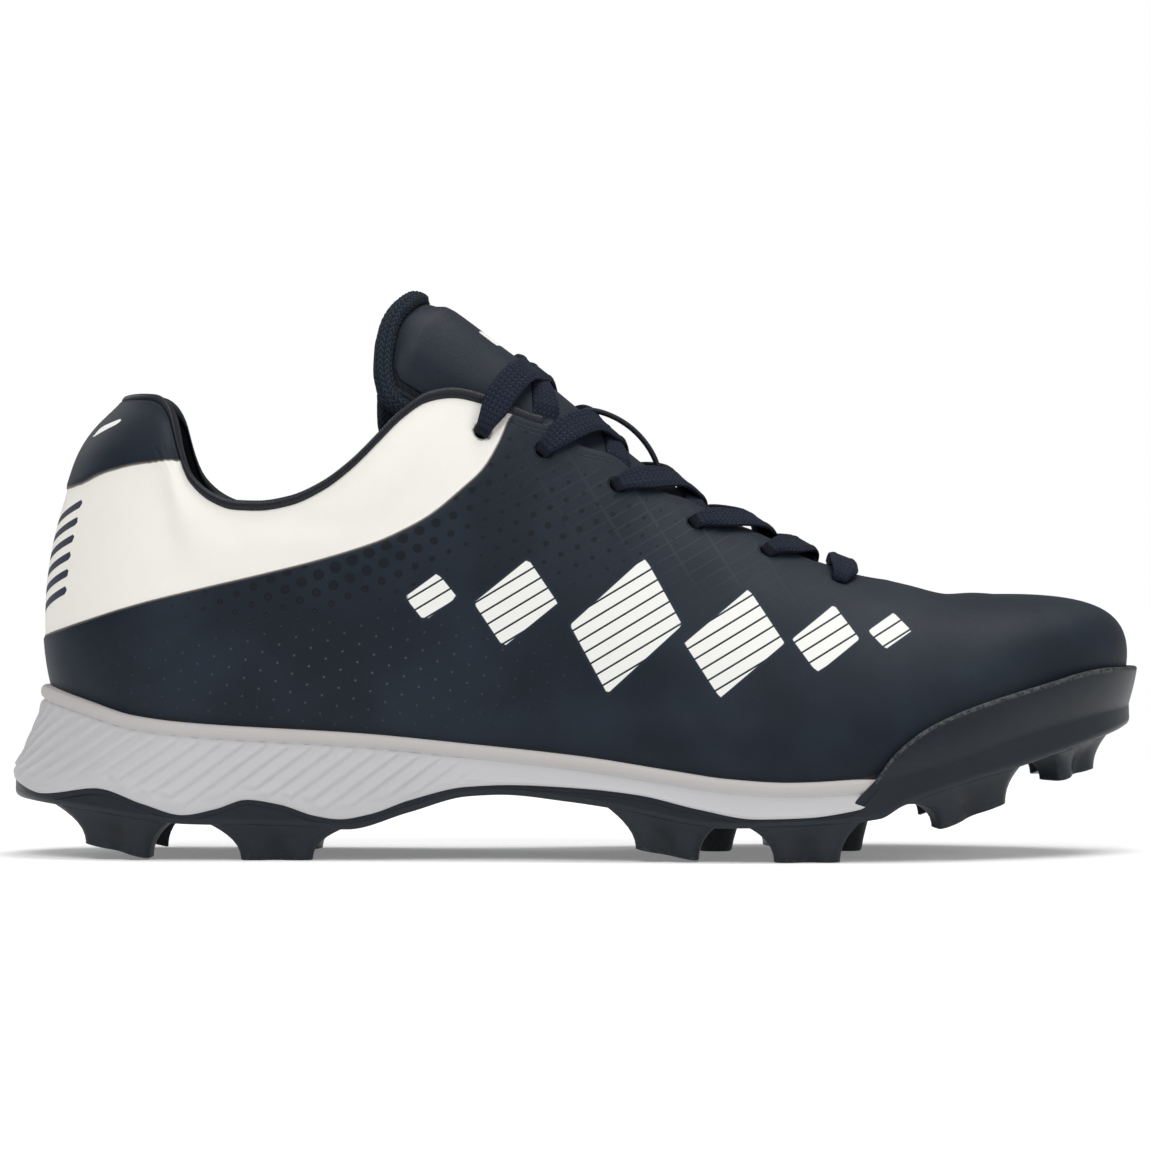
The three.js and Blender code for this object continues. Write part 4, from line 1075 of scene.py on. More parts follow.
@dataclass(frozen=True)
class TongueCloth:
    """The tongue's smooth face with its stitched inner line."""

    navy: Colour = (0.0035, 0.007, 0.014)
    light: Colour = (0.010, 0.017, 0.030)

    def material(self) -> bpy.types.Material:
        """The finished material."""
        graph = Graph("tongue_face")
        vector = graph.place()[0]
        grain = graph.noise(vector, 0.6, 3.0, 0.6)
        cloud = graph.noise(vector, 16.0, 2.0)
        rim = graph.mark("rim")
        run = graph.mark("run")
        dash = (run / 2.0).part().fall(0.6, 0.7)
        stitch = abs(rim - 0.9).fall(0.2, 0.42)
        colour = graph.blend(grain * 0.4 + cloud * 0.5, self.navy, self.light)
        colour = graph.blend(stitch * (0.5 + dash * 0.4), colour, (0.004, 0.005, 0.009))
        patch = graph.mark("patch").step(-0.1, 0.1)
        colour = graph.blend(patch, colour, (0.80, 0.79, 0.75))
        relief = grain * 0.05 - stitch * 0.35 - stitch * dash * 0.15
        fixed = {"Sheen Weight": 0.04, "Specular IOR Level": 0.22}
        return graph.finish(colour, 0.48 + grain * 0.12, relief, fixed)


@dataclass(frozen=True)
class Knit:
    """Thick knit with a herringbone of slanted stitches."""

    dark: Colour = (0.003, 0.006, 0.011)
    light: Colour = (0.018, 0.030, 0.046)
    stitch: float = 1.5

    def material(self) -> bpy.types.Material:
        """The finished material."""
        graph = Graph("knit_rim")
        vector = graph.place()[0]
        run = graph.mark("run")
        round_it = graph.mark("round")
        column = (round_it / 1.9).part()
        slant = abs(column - 0.5) * 2.2
        stitch = ((run / self.stitch) + slant).part()
        fuzz = graph.noise(vector, 0.35, 3.0, 0.7)
        loop = (abs(stitch - 0.5) * 2.0).fall(0.35, 0.95) * abs(column - 0.5).fall(0.38, 0.5)
        colour = graph.blend(loop * 0.75 + fuzz * 0.35, self.dark, self.light)
        relief = loop * 0.42 + fuzz * 0.08
        return graph.finish(colour, 0.82 + fuzz * 0.1, relief, {"Specular IOR Level": 0.25})


@dataclass(frozen=True)
class Tape:
    """Smooth folded tape with a faint weave, and a row of stitches."""

    name: str = "binding_tape"
    navy: Colour = (0.0025, 0.004, 0.008)
    light: Colour = (0.007, 0.010, 0.018)
    roughness: float = 0.38

    def material(self) -> bpy.types.Material:
        """The finished material."""
        graph = Graph(self.name)
        vector = graph.place()[0]
        run = graph.mark("run")
        weave = (run * (math.tau / 0.7)).sine()
        grain = graph.noise(vector, 0.4, 2.0, 0.6)
        colour = graph.blend(grain * 0.6 + weave * 0.15, self.navy, self.light)
        rough = self.roughness + grain * 0.15
        return graph.finish(colour, rough, weave * 0.02 + grain * 0.04, {"Specular IOR Level": 0.3})


@dataclass(frozen=True)
class Braid:
    """Flat braided lace: three raised ribs of slanted yarns, and painted shade where it goes into the
    eyelets.
    """

    dark: Colour = (0.001, 0.002, 0.006)
    light: Colour = (0.008, 0.015, 0.040)
    yarn: float = 1.45

    def material(self) -> bpy.types.Material:
        """The finished material."""
        graph = Graph("lace_braid")
        vector = graph.place()[0]
        run = graph.mark("run")
        across = graph.mark("across")
        lane = (across * 2.5 + 3.0).part()
        slant = abs(lane - 0.5) * 1.6
        yarn = ((run / self.yarn) + slant).part()
        fuzz = graph.noise(vector, 0.3, 3.0, 0.7)
        strand = (abs(yarn - 0.5) * 2.0).fall(0.3, 0.95) * abs(lane - 0.5).fall(0.36, 0.5)
        colour = graph.blend(strand * 0.8 + fuzz * 0.3, self.dark, self.light)
        # Painted shade: the lace is darkened where it runs into its eyelet and under the upper.
        buried = graph.mark("buried")
        colour = graph.blend(buried * 0.85, colour, (0.002, 0.003, 0.006))
        relief = strand * 0.3 + fuzz * 0.06
        return graph.finish(colour, 0.62 + fuzz * 0.2, relief, {"Specular IOR Level": 0.25})


# The pieces


@dataclass
class Upper:
    """The hollow upper: outer skin, rolled edge and lining in one closed shell with twelve holes."""

    last: Last
    columns: int = 210
    rows: int = 84
    eyelet_radius: float = 2.2
    panel_step: float = 0.6
    scallop: float = 1.0
    puff: float = 1.3

    # along, up: the heel panel's lower seam, then the heel tab's, from the side
    PANEL_SEAM = (
        (-0.02, 0.43, "heel"), (0.059, 0.494, "heel"), (0.129, 0.545, "heel"), (0.225, 0.6, "heel"),
        (0.277, 0.632, "heel"), (0.321, 0.666, "heel"), (0.347, 0.694, "heel"), (0.373, 0.724, "instep"),
        (0.399, 0.777, "instep"), (0.417, 0.819, "instep"), (0.43, 0.872, "instep"),
        (0.438, 0.919, "instep"), (0.45, 0.99, "instep"), (0.47, 1.3, "instep"),
    )
    TAB_SEAM = (
        (0.152, 1.3, "heel"), (0.156, 0.845, "heel"), (0.135, 0.84, "heel"), (0.109, 0.832, "heel"),
        (0.083, 0.815, "heel"), (0.056, 0.79, "heel"), (-0.02, 0.76, "heel"),
    )
    # along, height in millimetres, half width, half height of each hatched tile
    TILES = (
        (0.372, 66.0, 6.5, 6.0), (0.445, 64.5, 10.5, 11.0), (0.54, 59.0, 14.0, 17.0),
        (0.633, 54.5, 12.5, 13.5), (0.712, 55.5, 8.5, 8.5), (0.768, 57.5, 5.5, 4.5),
    )
    # along, height, reach along, reach up, depth: soft troughs below 0 and ridges above 0
    CREASES = (
        (0.30, 84.0, 16.0, 3.2, -0.5), (0.25, 80.0, 12.0, 3.0, 0.35), (0.20, 82.0, 9.0, 3.5, -0.3),
        (0.56, 40.0, 26.0, 7.0, -0.55), (0.62, 30.0, 20.0, 5.0, 0.3), (0.83, 50.0, 12.0, 6.0, -0.35),
        (0.45, 40.0, 22.0, 9.0, -0.4), (0.12, 60.0, 12.0, 6.0, 0.3),
    )

    def _side_points(self, rows: Sequence[tuple[float, float, str]]) -> Array:
        """Rows of along and share as places from the side, in millimetres."""
        sizes = {"heel": self.last.heel_height, "instep": self.last.instep_height}
        return np.array([(self.last.to_x(a), up * sizes[of]) for a, up, of in rows])

    def _grid(self) -> tuple[Array, Array]:
        """The turns and sides of the columns, out along one side and back along the other."""
        places = [(along, 0.013, 1.5) for along in self.last.eyelets]
        places.append((self.last.throat_front, 0.012, 1.2))
        turns = self.last.columns(self.columns, places)
        turn = np.concatenate([turns, turns[-2:0:-1]])
        side = np.concatenate([np.full(len(turns), OUTER), np.full(len(turns) - 2, INNER)])
        return turn, side

    def _relief(self, points: Array, seam: Array, tab: Array) -> Array:
        """How far the outside stands off the last at points of the skin.

        Args:
            points: points of the skin.
            seam: distance inside the heel panel.
            tab: distance inside the heel tab.

        Returns:
            Millimetres outwards.
        """
        last = self.last
        along = last.to_along(points[..., 0])
        inside = ramp(-0.5, 0.5, seam) * (1 - ramp(-0.5, 0.5, tab))
        relief = -self.panel_step * inside
        below = last.collar_height(points[..., 0]) - points[..., 2]
        ankle = 1 - ramp(0.3, 0.42, along)
        relief = relief + self.puff * ankle * bell(below, 11.0, 9.0) * (1 - bell(below, 0, 3.0))
        for place, height, reach, rise, depth in self.CREASES:
            hill = bell(points[..., 0], last.to_x(place), reach) * bell(points[..., 2], height, rise)
            relief = relief + depth * hill
        return relief

    def build(self) -> bpy.types.Object:
        """Builds the shell, cuts the eyelets and dresses it.

        Returns:
            The upper.
        """
        last = self.last
        turn, side = self._grid()
        top = last.opening(turn, side, self.scallop)
        share = np.linspace(0, 1, self.rows) ** 0.93
        rise = top[:, None] * share[None]
        flat = last.skin(turn[:, None], side[:, None], rise)
        facing = last.normal(turn[:, None], side[:, None], rise)
        closed = top >= 1
        mirrored = last.normal(turn, -side, top)
        facing[closed, -1] = unit(facing[closed, -1] + mirrored[closed])
        marks = self._marks(turn, side, flat)
        outer = flat + facing * self._relief(flat, marks["seam"], marks["tab"])[..., None]
        depth = last.wall + last.padding_at(flat)
        inner = flat - facing * depth[..., None]
        up = unit(flat[:, -1] - flat[:, -2])
        arcs = []
        for angle in (0.25, 0.5, 0.75):
            middle = (outer[:, -1] + inner[:, -1]) / 2
            half = (outer[:, -1] - inner[:, -1]) / 2
            bulge = np.where(closed, 0, np.minimum(0.45 * depth[:, -1], 1.0))[:, None]
            turned = math.pi * angle
            arcs.append(middle + half * math.cos(turned) + up * bulge * math.sin(turned))
        bed = last.bed(last.along_of(turn))
        tuck_out = np.concatenate([last.outline(turn, side, -last.feather), bed[:, None]], 1)
        tuck_in = np.concatenate(
            [last.outline(turn, side, -last.feather - last.wall), last.bed(last.along_of(turn))[:, None]], 1
        )
        rows = [tuck_out, *np.moveaxis(outer, 1, 0), *arcs, *np.moveaxis(inner[:, ::-1], 1, 0), tuck_in]
        points = np.stack(rows, 1)
        count = self.rows
        shell = grid_shell(points, wrap_columns=True, wrap_rows=True)
        total = points.shape[1]
        spread: dict[str, Array] = {}
        for name, values in marks.items():
            columns = [values[:, :1], values, *[values[:, -1:]] * 3, values[:, ::-1], values[:, :1]]
            spread[name] = np.concatenate(columns, 1).reshape(-1)
        shell.marks = spread
        kept, slots = [], []
        for face in shell.faces:
            column, row = face[0] // total, face[0] % total
            following = (column + 1) % len(turn)
            at_edge = count <= row < count + 4
            if at_edge and closed[column] and closed[following]:
                continue
            kept.append(face)
            slots.append(Face.LINING if count + 2 <= row else Face.OUTSIDE)
        shell.faces, shell.slots = kept, slots
        self._punch(shell, points)
        upper = make_piece(
            "upper_shell",
            shell,
            [UpperSkin().material(), Lining().material("collar_lining")],
            last.shift,
            ["upper"],
        )
        return upper

    def _marks(self, turn: Array, side: Array, flat: Array) -> dict[str, Array]:
        """The numbers that the finish reads at each point of the skin.

        Args:
            turn: the columns' turns.
            side: the columns' sides.
            flat: the skin's points.

        Returns:
            Arrays by name.
        """
        last = self.last
        side_view = flat[..., [0, 2]].reshape(-1, 2)
        shape = flat.shape[:2]
        lower, upper_line = self._side_points(self.PANEL_SEAM), self._side_points(self.TAB_SEAM)
        panel = np.vstack([smooth_path(lower, 5), [(400.0, 300.0), (-400.0, 300.0)]])
        tab = np.vstack([smooth_path(upper_line[1:], 5), [(-400.0, 300.0), upper_line[0]]])
        marks = {
            "seam": signed_distance(side_view, panel).reshape(shape),
            "tab": signed_distance(side_view, tab).reshape(shape),
        }
        steps = np.linalg.norm(np.diff(flat, axis=1), axis=-1)
        down = np.concatenate([np.cumsum(steps[:, ::-1], 1)[:, ::-1], np.zeros((shape[0], 1))], 1)
        up = np.concatenate([np.zeros((shape[0], 1)), np.cumsum(steps, 1)], 1)
        marks["edge"] = down
        marks["bite"] = up
        top_run = lengths_along(flat[:, -1])
        marks["run"] = np.repeat(top_run[:, None], shape[1], 1)
        along = last.to_along(flat[..., 0])
        marks["throat"] = ramp(0.43, 0.45, along) * (1 - ramp(0.77, 0.785, along))
        hole = np.full(shape, 99.0)
        for place in last.eyelets:
            for which in (OUTER, INNER):
                centre, _ = last.eyelet(place, which)
                hole = np.minimum(hole, np.linalg.norm(flat - centre, axis=-1) - self.eyelet_radius)
        marks["hole"] = np.abs(hole)
        marks["art"] = self._tiles(side_view).reshape(shape)
        heel_run = lengths_along(last.bite_plan(turn, side))
        heel_run = np.minimum(heel_run, heel_run[-1] - heel_run)
        arc = np.repeat(heel_run[:, None], shape[1], 1)
        marks["bars"] = self._bars(arc, flat[..., 2])
        corners = np.array([(13.0, 105.5), (25.0, 109.5), (25.5, 111.0), (15.0, 108.6)])
        places = np.stack([arc, flat[..., 2]], -1).reshape(-1, 2)
        marks["patch"] = signed_distance(places, corners).reshape(shape)
        below = -marks["seam"]
        strong = bell(flat[..., 0], -56.0, 44.0) * ramp(20, 0, -below) * (1 - ramp(2, 24, below))
        under = bell(flat[..., 0], -4.0, 34.0) * bell(flat[..., 2], 84.0, 17.0)
        marks["dot"] = 1.8 * np.maximum(strong, 0.62 * under) * ramp(-0.5, 1.0, below) - 0.25
        marks["fleck"] = bell(flat[..., 0], -60, 40) * bell(flat[..., 2], 48, 12)
        marks["print"] = bell(flat[..., 0], 22, 32) * ramp(2, 8, down) * (1 - ramp(18, 34, down))
        return marks

    def _tiles(self, places: Array) -> Array:
        """How far inside a hatched tile each place lies, from the side."""
        best = np.full(len(places), -99.0)
        for along, height, half_long, half_high in self.TILES:
            x = self.last.to_x(along)
            lean = 0.28 * half_high
            corners = np.array(
                [
                    (x - half_long, height),
                    (x - lean, height - half_high),
                    (x + half_long, height),
                    (x + lean, height + half_high),
                ]
            )
            best = np.maximum(best, signed_distance(places, corners))
        return best

    @staticmethod
    def _bars(arc: Array, height: Array) -> Array:
        """How far inside one of the slanted heel bars each place lies.

        Args:
            arc: the distance round the heel from its back.
            height: the height.

        Returns:
            Millimetres, above 0 inside a bar.
        """
        slanted = height - 0.32 * arc
        row = np.abs((slanted - 59.0) % 4.4 - 2.2)
        bar = 1.05 - row
        ends = np.minimum(arc - 5.0, 21.0 - arc)
        body = np.minimum(slanted - 58.5, 85.0 - slanted)
        return np.minimum(np.minimum(bar, ends), body)

    def _punch(self, shell: Shell, points: Array) -> None:
        """Cuts the eyelets right through the wall.

        Args:
            shell: the upper's shell, changed in place.
            points: its points by column and row.
        """
        total = points.shape[1]
        removed: set[int] = set()
        groups = []
        for along in self.last.eyelets:
            for side in (OUTER, INNER):
                centre, facing = self.last.eyelet(along, side)
                groups.append(self._hole_faces(shell, centre, facing, total))
        for group, centre, facing in groups:
            removed |= group
            self._ring(shell, group, centre, facing, total)
        keep = [number for number in range(len(shell.slots)) if number not in removed]
        extra = list(range(len(shell.slots), len(shell.faces)))
        shell.slots = [shell.slots[n] for n in keep] + [Face.OUTSIDE] * len(extra)
        shell.faces = [shell.faces[n] for n in keep + extra]

    def _hole_faces(
        self, shell: Shell, centre: Array, facing: Array, total: int
    ) -> tuple[set[int], Array, Array]:
        """The faces that lie in one eyelet, on the outside and the inside.

        Args:
            shell: the upper's shell.
            centre: the eyelet's middle.
            facing: its outward direction.
            total: rows in a column.

        Returns:
            The faces' numbers, the middle and the direction.
        """
        if not hasattr(self, "_centres"):
            corners = np.array([face[:4] for face in shell.faces if len(face) == 4])
            self._centres = shell.points[corners].mean(axis=1)
        away = self._centres - centre
        deep = away @ facing
        flat = np.linalg.norm(away - deep[:, None] * facing, axis=1)
        near = np.nonzero((flat < self.eyelet_radius) & (np.abs(deep) < 2.6 * self.last.wall))[0]
        outside = {int(n) for n in near if shell.faces[n][0] % total <= self.rows}
        group = set(outside)
        mirror = 2 * self.rows + 3
        lookup = {(shell.faces[n][0] // total, shell.faces[n][0] % total): int(n) for n in near}
        for n in outside:
            column, row = shell.faces[n][0] // total, shell.faces[n][0] % total
            twin = lookup.get((column, mirror - row + 1))
            if twin is None:
                twin = self._face_at(shell, column, mirror - row + 1, total)
            if twin is not None:
                group.add(twin)
        return group, centre, facing

    def _face_at(self, shell: Shell, column: int, row: int, total: int) -> Optional[int]:
        """The number of the face that starts at a column and row."""
        if not hasattr(self, "_index"):
            self._index = {face[0]: number for number, face in enumerate(shell.faces)}
        return self._index.get(column * total + row)

    def _ring(self, shell: Shell, group: set[int], centre: Array, facing: Array, total: int) -> None:
        """Rounds one eyelet's border on both skins and joins them through the wall.

        Args:
            shell: the upper's shell, changed in place.
            group: the faces that the eyelet takes out.
            centre: its middle.
            facing: its outward direction.
            total: rows in a column.
        """
        directed = set()
        for n in group:
            face = shell.faces[n]
            directed |= {(face[k], face[(k + 1) % len(face)]) for k in range(len(face))}
        border = [edge for edge in directed if (edge[1], edge[0]) not in directed]
        moved = {index for edge in border for index in edge}
        for index in moved:
            away = shell.points[index] - centre
            deep = float(away @ facing)
            flat = away - deep * facing
            shell.points[index] = centre + deep * facing + flat / np.linalg.norm(flat) * self.eyelet_radius
        mirror = 2 * self.rows + 4
        for a, b in border:
            if a % total <= self.rows and b % total <= self.rows:
                twin_a = a - a % total + (mirror - a % total)
                twin_b = b - b % total + (mirror - b % total)
                shell.faces.append((a, b, twin_b, twin_a))


@dataclass
class Midsole:
    """The white foam wedge with its smooth lip band and slanted ribs."""

    last: Last
    lip: float = 2.0
    lip_height: float = 3.6
    rib_pitch: float = 6.0
    rib_relief: float = 0.75
    rib_slant: float = 1.35
    rib_share: float = 0.44
    bumper_inset: float = 3.0

    def edge_curve(self) -> Curve:
        """The waving lower edge's heights."""
        return self.last.table(SOLE_EDGE, self.last.sole_height)

    def build(self) -> bpy.types.Object:
        """Builds the foam wedge.

        Returns:
            The midsole.
        """
        last = self.last
        turns = last.columns(620, [(0.03, 0.02, 0.4), (0.25, 0.22, 0.7)])
        turn = np.concatenate([turns, turns[-2:0:-1]])
        side = np.concatenate([np.full(len(turns), OUTER), np.full(len(turns) - 2, INNER)])
        along = last.along_of(turn)
        run = lengths_along(last.bite_plan(turn, side))
        whole = run[-1] / 2
        length = np.minimum(run, run[-1] - run)
        bumper = ramp(0.73, 0.81, along)
        low = self.edge_curve()(along)
        bite = mix(last.bite(along) + 0.4, last.bed(along) + 1, bumper)
        flare = sole_flare(last)(along)
        rib_top = mix(bite - self.lip_height, low + 1, bumper)
        knots = (0, 0.05, 0.12, 0.34, 0.55, 0.8, 1.0)
        offsets = np.stack(
            [
                flare - 0.5,
                flare - 0.2,
                flare,
                mix(flare, self.lip, 0.38),
                mix(flare, self.lip, 0.62),
                mix(flare, self.lip, 0.92),
                np.full_like(flare, self.lip - 0.4),
            ],
            -1,
        )
        rows, lips, groove_shades = [], [], []
        shares = np.concatenate([[0, 0.015, 0.03], np.linspace(0.05, 1, 26)])
        for share in shares:
            column = np.array([np.interp(share, knots, line) for line in offsets])
            height = mix(low, rib_top, share)
            phase = (length - self.rib_slant * (height - 0.5 * last.sole_height)) / self.rib_pitch
            saw = phase % 1.0
            tooth = np.where(saw < 0.78, ramp(0, 0.62, saw), 1 - ramp(0.78, 0.97, saw))
            index = np.floor(phase)
            start = 0.10 + 0.05 * (index % 3)
            span = ramp(start, start + 0.05, share) * (1 - ramp(0.955, 1.0, share))
            fade = ramp(0, 0.10, self.rib_share - length / whole) * (1 - bumper)
            relief = self.rib_relief * tooth * span * fade
            rounding = -0.7 * (1 - min(1.0, share / 0.03)) ** 2
            edge = last.outline(turn, side, mix(column + rounding, -self.bumper_inset, bumper) + relief)
            rows.append(np.concatenate([edge, height[:, None]], 1))
            lips.append(np.zeros(len(turn)))
            # Painted shade: marks the recess of each rib, where the foam's colour is darkened.
            groove_shades.append(span * fade * (1 - tooth) * (saw > 0.7))
        swell = ((0.08, 0.15), (0.25, 0.75), (0.5, 0.95), (0.75, 0.8), (0.93, 0.35), (1.0, -0.3))
        for share, offset in swell:
            height = mix(rib_top, bite, share)
            edge = last.outline(turn, side, mix(self.lip - 0.4 + offset, -self.bumper_inset, bumper))
            rows.append(np.concatenate([edge, height[:, None]], 1))
            lips.append(np.full(len(turn), min(1.0, share * 4)))
            groove_shades.append(np.zeros(len(turn)))
        inside = last.outline(turn, side, mix(-1.2, -self.bumper_inset, bumper))
        rows.append(np.concatenate([inside, bite[:, None]], 1))
        inside = last.outline(turn, side, mix(-1.6, -self.bumper_inset - 0.3, bumper))
        rows.append(np.concatenate([inside, last.bed(along)[:, None] - 1], 1))
        spine = last.spine_along(turn)
        rows.append(np.stack([last.to_x(spine), last.centre(spine), last.bed(spine) - 1], -1))
        rows.insert(0, np.stack([last.to_x(spine), last.centre(spine), self.edge_curve()(spine)], -1))
        shell = grid_shell(np.stack(rows, 1), wrap_columns=True)
        zero = np.zeros(len(turn))
        shell.marks = {
            "lip": np.stack([zero, *lips, zero, zero, zero], 1).reshape(-1),
            "groove": np.stack([zero, *groove_shades, zero, zero, zero], 1).reshape(-1),
        }
        turned_outwards(shell)
        return make_piece(
            "midsole_foam", shell, [Foam().material()], last.shift, ["midsole"], flat_angle=70
        )


# along, up: the waving lower edge of the midsole
SOLE_EDGE = (
    (0, 0.66), (0.029, 0.59), (0.054, 0.475), (0.091, 0.525), (0.128, 0.41), (0.159, 0.33),
    (0.187, 0.375), (0.214, 0.445), (0.242, 0.41), (0.273, 0.325), (0.294, 0.3), (0.321, 0.34),
    (0.355, 0.445), (0.404, 0.545), (0.442, 0.56), (0.5, 0.54), (0.553, 0.49), (0.603, 0.39),
    (0.651, 0.32), (0.693, 0.33), (0.734, 0.38), (0.775, 0.49), (0.885, 0.775), (0.968, 1),
)


def sole_flare(last: Last) -> Curve:
    """How far the sole's lower edge stands out past the bite line."""
    rows = ((0.034, 1), (0.09, 0.66), (0.2, 0.45), (0.4, 0.34), (0.68, 0.36), (0.74, 0.3), (0.978, 0.3))
    return last.table(rows, last.heel_flare)


@dataclass
class Outsole:
    """The moulded plate, its studs and the toe bumper."""

    last: Last
    bumper: float = 2.8
    inset: float = 0.6
    rounding: float = 1.5
    root_depth: float = 17.0
    tip_depth: float = 9.0
    tip_inset: float = 2.4
    flute: float = 2.0
    centre_radius: float = 7.0

    PLATE = (
        (0.018, 0.47), (0.055, 0.41), (0.165, 0.268), (0.242, 0.256), (0.3, 0.23), (0.353, 0.355),
        (0.404, 0.475), (0.434, 0.488), (0.491, 0.44), (0.524, 0.4), (0.626, 0.253), (0.706, 0.274),
        (0.756, 0.32), (0.776, 0.415), (0.83, 0.574), (0.886, 0.712), (0.966, 0.935), (1, 1.06),
    )
    BUMPER_EDGE = (
        (0.715, 0.3), (0.7316, 0.41), (0.7546, 0.606), (0.766, 0.741), (0.781, 0.865), (0.803, 0.99),
        (0.839, 1.12), (0.894, 1.26), (0.958, 1.39), (1.02, 1.42),
    )
    # root rear, root front, tip rear, tip front, rear up, front up
    STUDS = (
        (0.058, 0.146, 0.075, 0.128, 0.115, 0.01),
        (0.182, 0.295, 0.2075, 0.2695, 0, 0),
        (0.524, 0.615, 0.547, 0.6, 0.09, 0.01),
        (0.645, 0.741, 0.666, 0.724, 0, 0),
        (0.778, 0.88, 0.812, 0.872, 0.235, 0.42),
        (0.908, 0.962, 0.921, 0.955, 0.57, 0.66),
    )
    CENTRE_STUDS = ((0.62, 0.02), (0.735, 0.02))

    def _wall(self, turn: Array, side: Array, foot: Array, low: Array) -> tuple[Array, Array, Array]:
        """The wall from the plate up to its edge, which is the bumper's edge round the toe.

        Args:
            turn: the columns' turns.
            side: the columns' sides.
            foot: how far out the wall starts.
            low: the height that it starts at.

        Returns:
            The wall's rows, its outward direction at the edge, and its length under each point.
        """
        last = self.last
        along = last.along_of(turn)
        toe = ramp(0.71, 0.755, along)[:, None]
        start = np.concatenate([last.outline(turn, side, foot), low[:, None]], 1)
        bite = np.concatenate([last.outline(turn, side, foot - 0.4), last.bite(along)[:, None]], 1)
        rises = np.linspace(0, 0.75, 220)
        facing = last.normal(turn[:, None], side[:, None], rises)
        skin = last.skin(turn[:, None], side[:, None], rises) + facing * self.bumper
        bite = mix(bite, skin[:, 0], toe)
        shares = np.linspace(0, 1, 60)
        straight = mix(start[:, None], bite[:, None], shares[None, :, None])
        line = np.concatenate([straight[:, :-1], skin], 1)
        bumper_edge = last.table(self.BUMPER_EDGE, last.sole_height)
        strip = last.table(SOLE_EDGE, last.sole_height)(along) + 1
        shown = np.maximum(strip[:, None], bumper_edge(last.to_along(line[..., 0])))
        limit = np.maximum(shown, low[:, None] + 0.6) - line[..., 2]
        places = np.arange(line.shape[1], dtype=float)
        cut = self.last.first_past(limit, places)
        rows = []
        for share in np.linspace(0, 1, 22):
            at = cut * share
            i = np.clip(at.astype(int), 0, len(places) - 2)
            each = np.arange(len(turn))
            rows.append(mix(line[each, i], line[each, i + 1], (at - i)[:, None]))
        wall = np.stack(rows, 1)
        rise = np.clip((cut - 59) / 219 * 0.75, 0, 0.75)
        outwards = last.normal(turn, side, rise)
        level = unit(outwards * np.array([1.0, 1.0, 0.0]))
        outwards = unit(mix(level, outwards, toe * (cut > 59)[:, None]))
        steps = np.linalg.norm(np.diff(wall, axis=1), axis=-1)
        under = np.concatenate([np.cumsum(steps[:, ::-1], 1)[:, ::-1], np.zeros((len(turn), 1))], 1)
        return wall, outwards, under

    def _plate(self) -> Shell:
        """The plate's underside, its waving strip and the bumper, in one skin.

        Returns:
            The shell, with its marks.
        """
        last = self.last
        turns = last.columns(420, [(0.95, 0.05, 0.5), (0.77, 0.05, 1.0)])
        turn = np.concatenate([turns, turns[-2:0:-1]])
        side = np.concatenate([np.full(len(turns), OUTER), np.full(len(turns) - 2, INNER)])
        along = last.along_of(turn)
        plate = last.table(self.PLATE, last.sole_height)
        flare = sole_flare(last)(along) - self.inset
        wide = mix(flare, self.bumper, ramp(0.71, 0.81, along))
        low = plate(along)
        spine = last.spine_along(turn)
        rows = [np.stack([last.to_x(spine), last.centre(spine), plate(spine)], -1)]
        for offset, lift in ((wide - 12, 0.0), (wide - self.rounding, 0.0)):
            rows.append(np.concatenate([last.outline(turn, side, offset), (low + lift)[:, None]], 1))
        for step in (1, 2, 3):
            angle = step / 4 * math.pi / 2
            offset = wide - self.rounding * (1 - math.sin(angle))
            height = low + self.rounding * (1 - math.cos(angle))
            rows.append(np.concatenate([last.outline(turn, side, offset), height[:, None]], 1))
        wall, facing, under = self._wall(turn, side, wide, low + self.rounding)
        edge = wall[:, -1]
        up = unit(edge - wall[:, -2])
        before = len(rows)
        rows += list(np.moveaxis(wall, 1, 0))
        for angle, deep in ((0.3, 0.0), (0.65, 0.0), (1.0, 0.0), (1.0, 1.9)):
            turned = angle * math.pi / 2
            inwards = 0.6 * (1 - math.cos(turned)) + deep
            rows.append(edge - facing * inwards + up * 0.6 * math.sin(turned) - up * 0.3 * deep)
        shell = grid_shell(np.stack(rows, 1), wrap_columns=True)
        far, near = np.full((len(turn), before), 9.0), np.tile([0.0, 0.0, 0.3, 9.0], (len(turn), 1))
        worn = np.concatenate([far, under, near], 1)
        zero = np.zeros(len(shell.points))
        shell.marks = {
            "rim": np.where((along > 0.75)[:, None], worn, 9.0).reshape(-1),
            "strip": np.where((along < 0.755)[:, None], worn, 9.0).reshape(-1),
            "tip": zero,
            "flute": zero,
        }
        return turned_outwards(shell)

    def _stud_ring(self, side: float, rear: float, front: float, inset: float, depth: float, flute: float,
                   height: Callable[[Array, Array], Array]) -> Array:
        """A stud's outline at one height, with a flute down the middle of its outer face.

        Args:
            side: OUTER or INNER.
            rear: the rear end along the shoe.
            front: the front end.
            inset: how far it stands in from the plate's edge.
            depth: its depth across the shoe.
            flute: the flute's depth.
            height: the height for a place along and a share of the stud.

        Returns:
            The ring's points.
        """
        last = self.last
        outside = [0, 0.03, 0.1, 0.24, 0.34, 0.42, 0.5, 0.58, 0.66, 0.76, 0.9, 0.97]
        shares = np.array([*outside, 1, 0.97, 0.9, 0.5, 0.1, 0.03])
        ins = np.array([2.4, 0.9, 0, 0, 0.4, 0.85, 1, 0.85, 0.4, 0, 0, 0.9, 2.4])
        ins[4:9] *= flute
        ins = np.concatenate([ins, [depth - 2.2, depth, depth, depth, depth - 2.2]]) + inset
        along = mix(rear, front, shares)
        flare = sole_flare(last)(along)
        edge = last.outline(last.turn_of(along), side, flare - self.inset - self.rounding - ins + 0.6)
        ring = np.concatenate([edge, height(along, shares)[:, None]], 1)
        closed = smooth_path(np.vstack([ring[-1], ring, ring[:2]]), 3)
        return closed[3:-6]

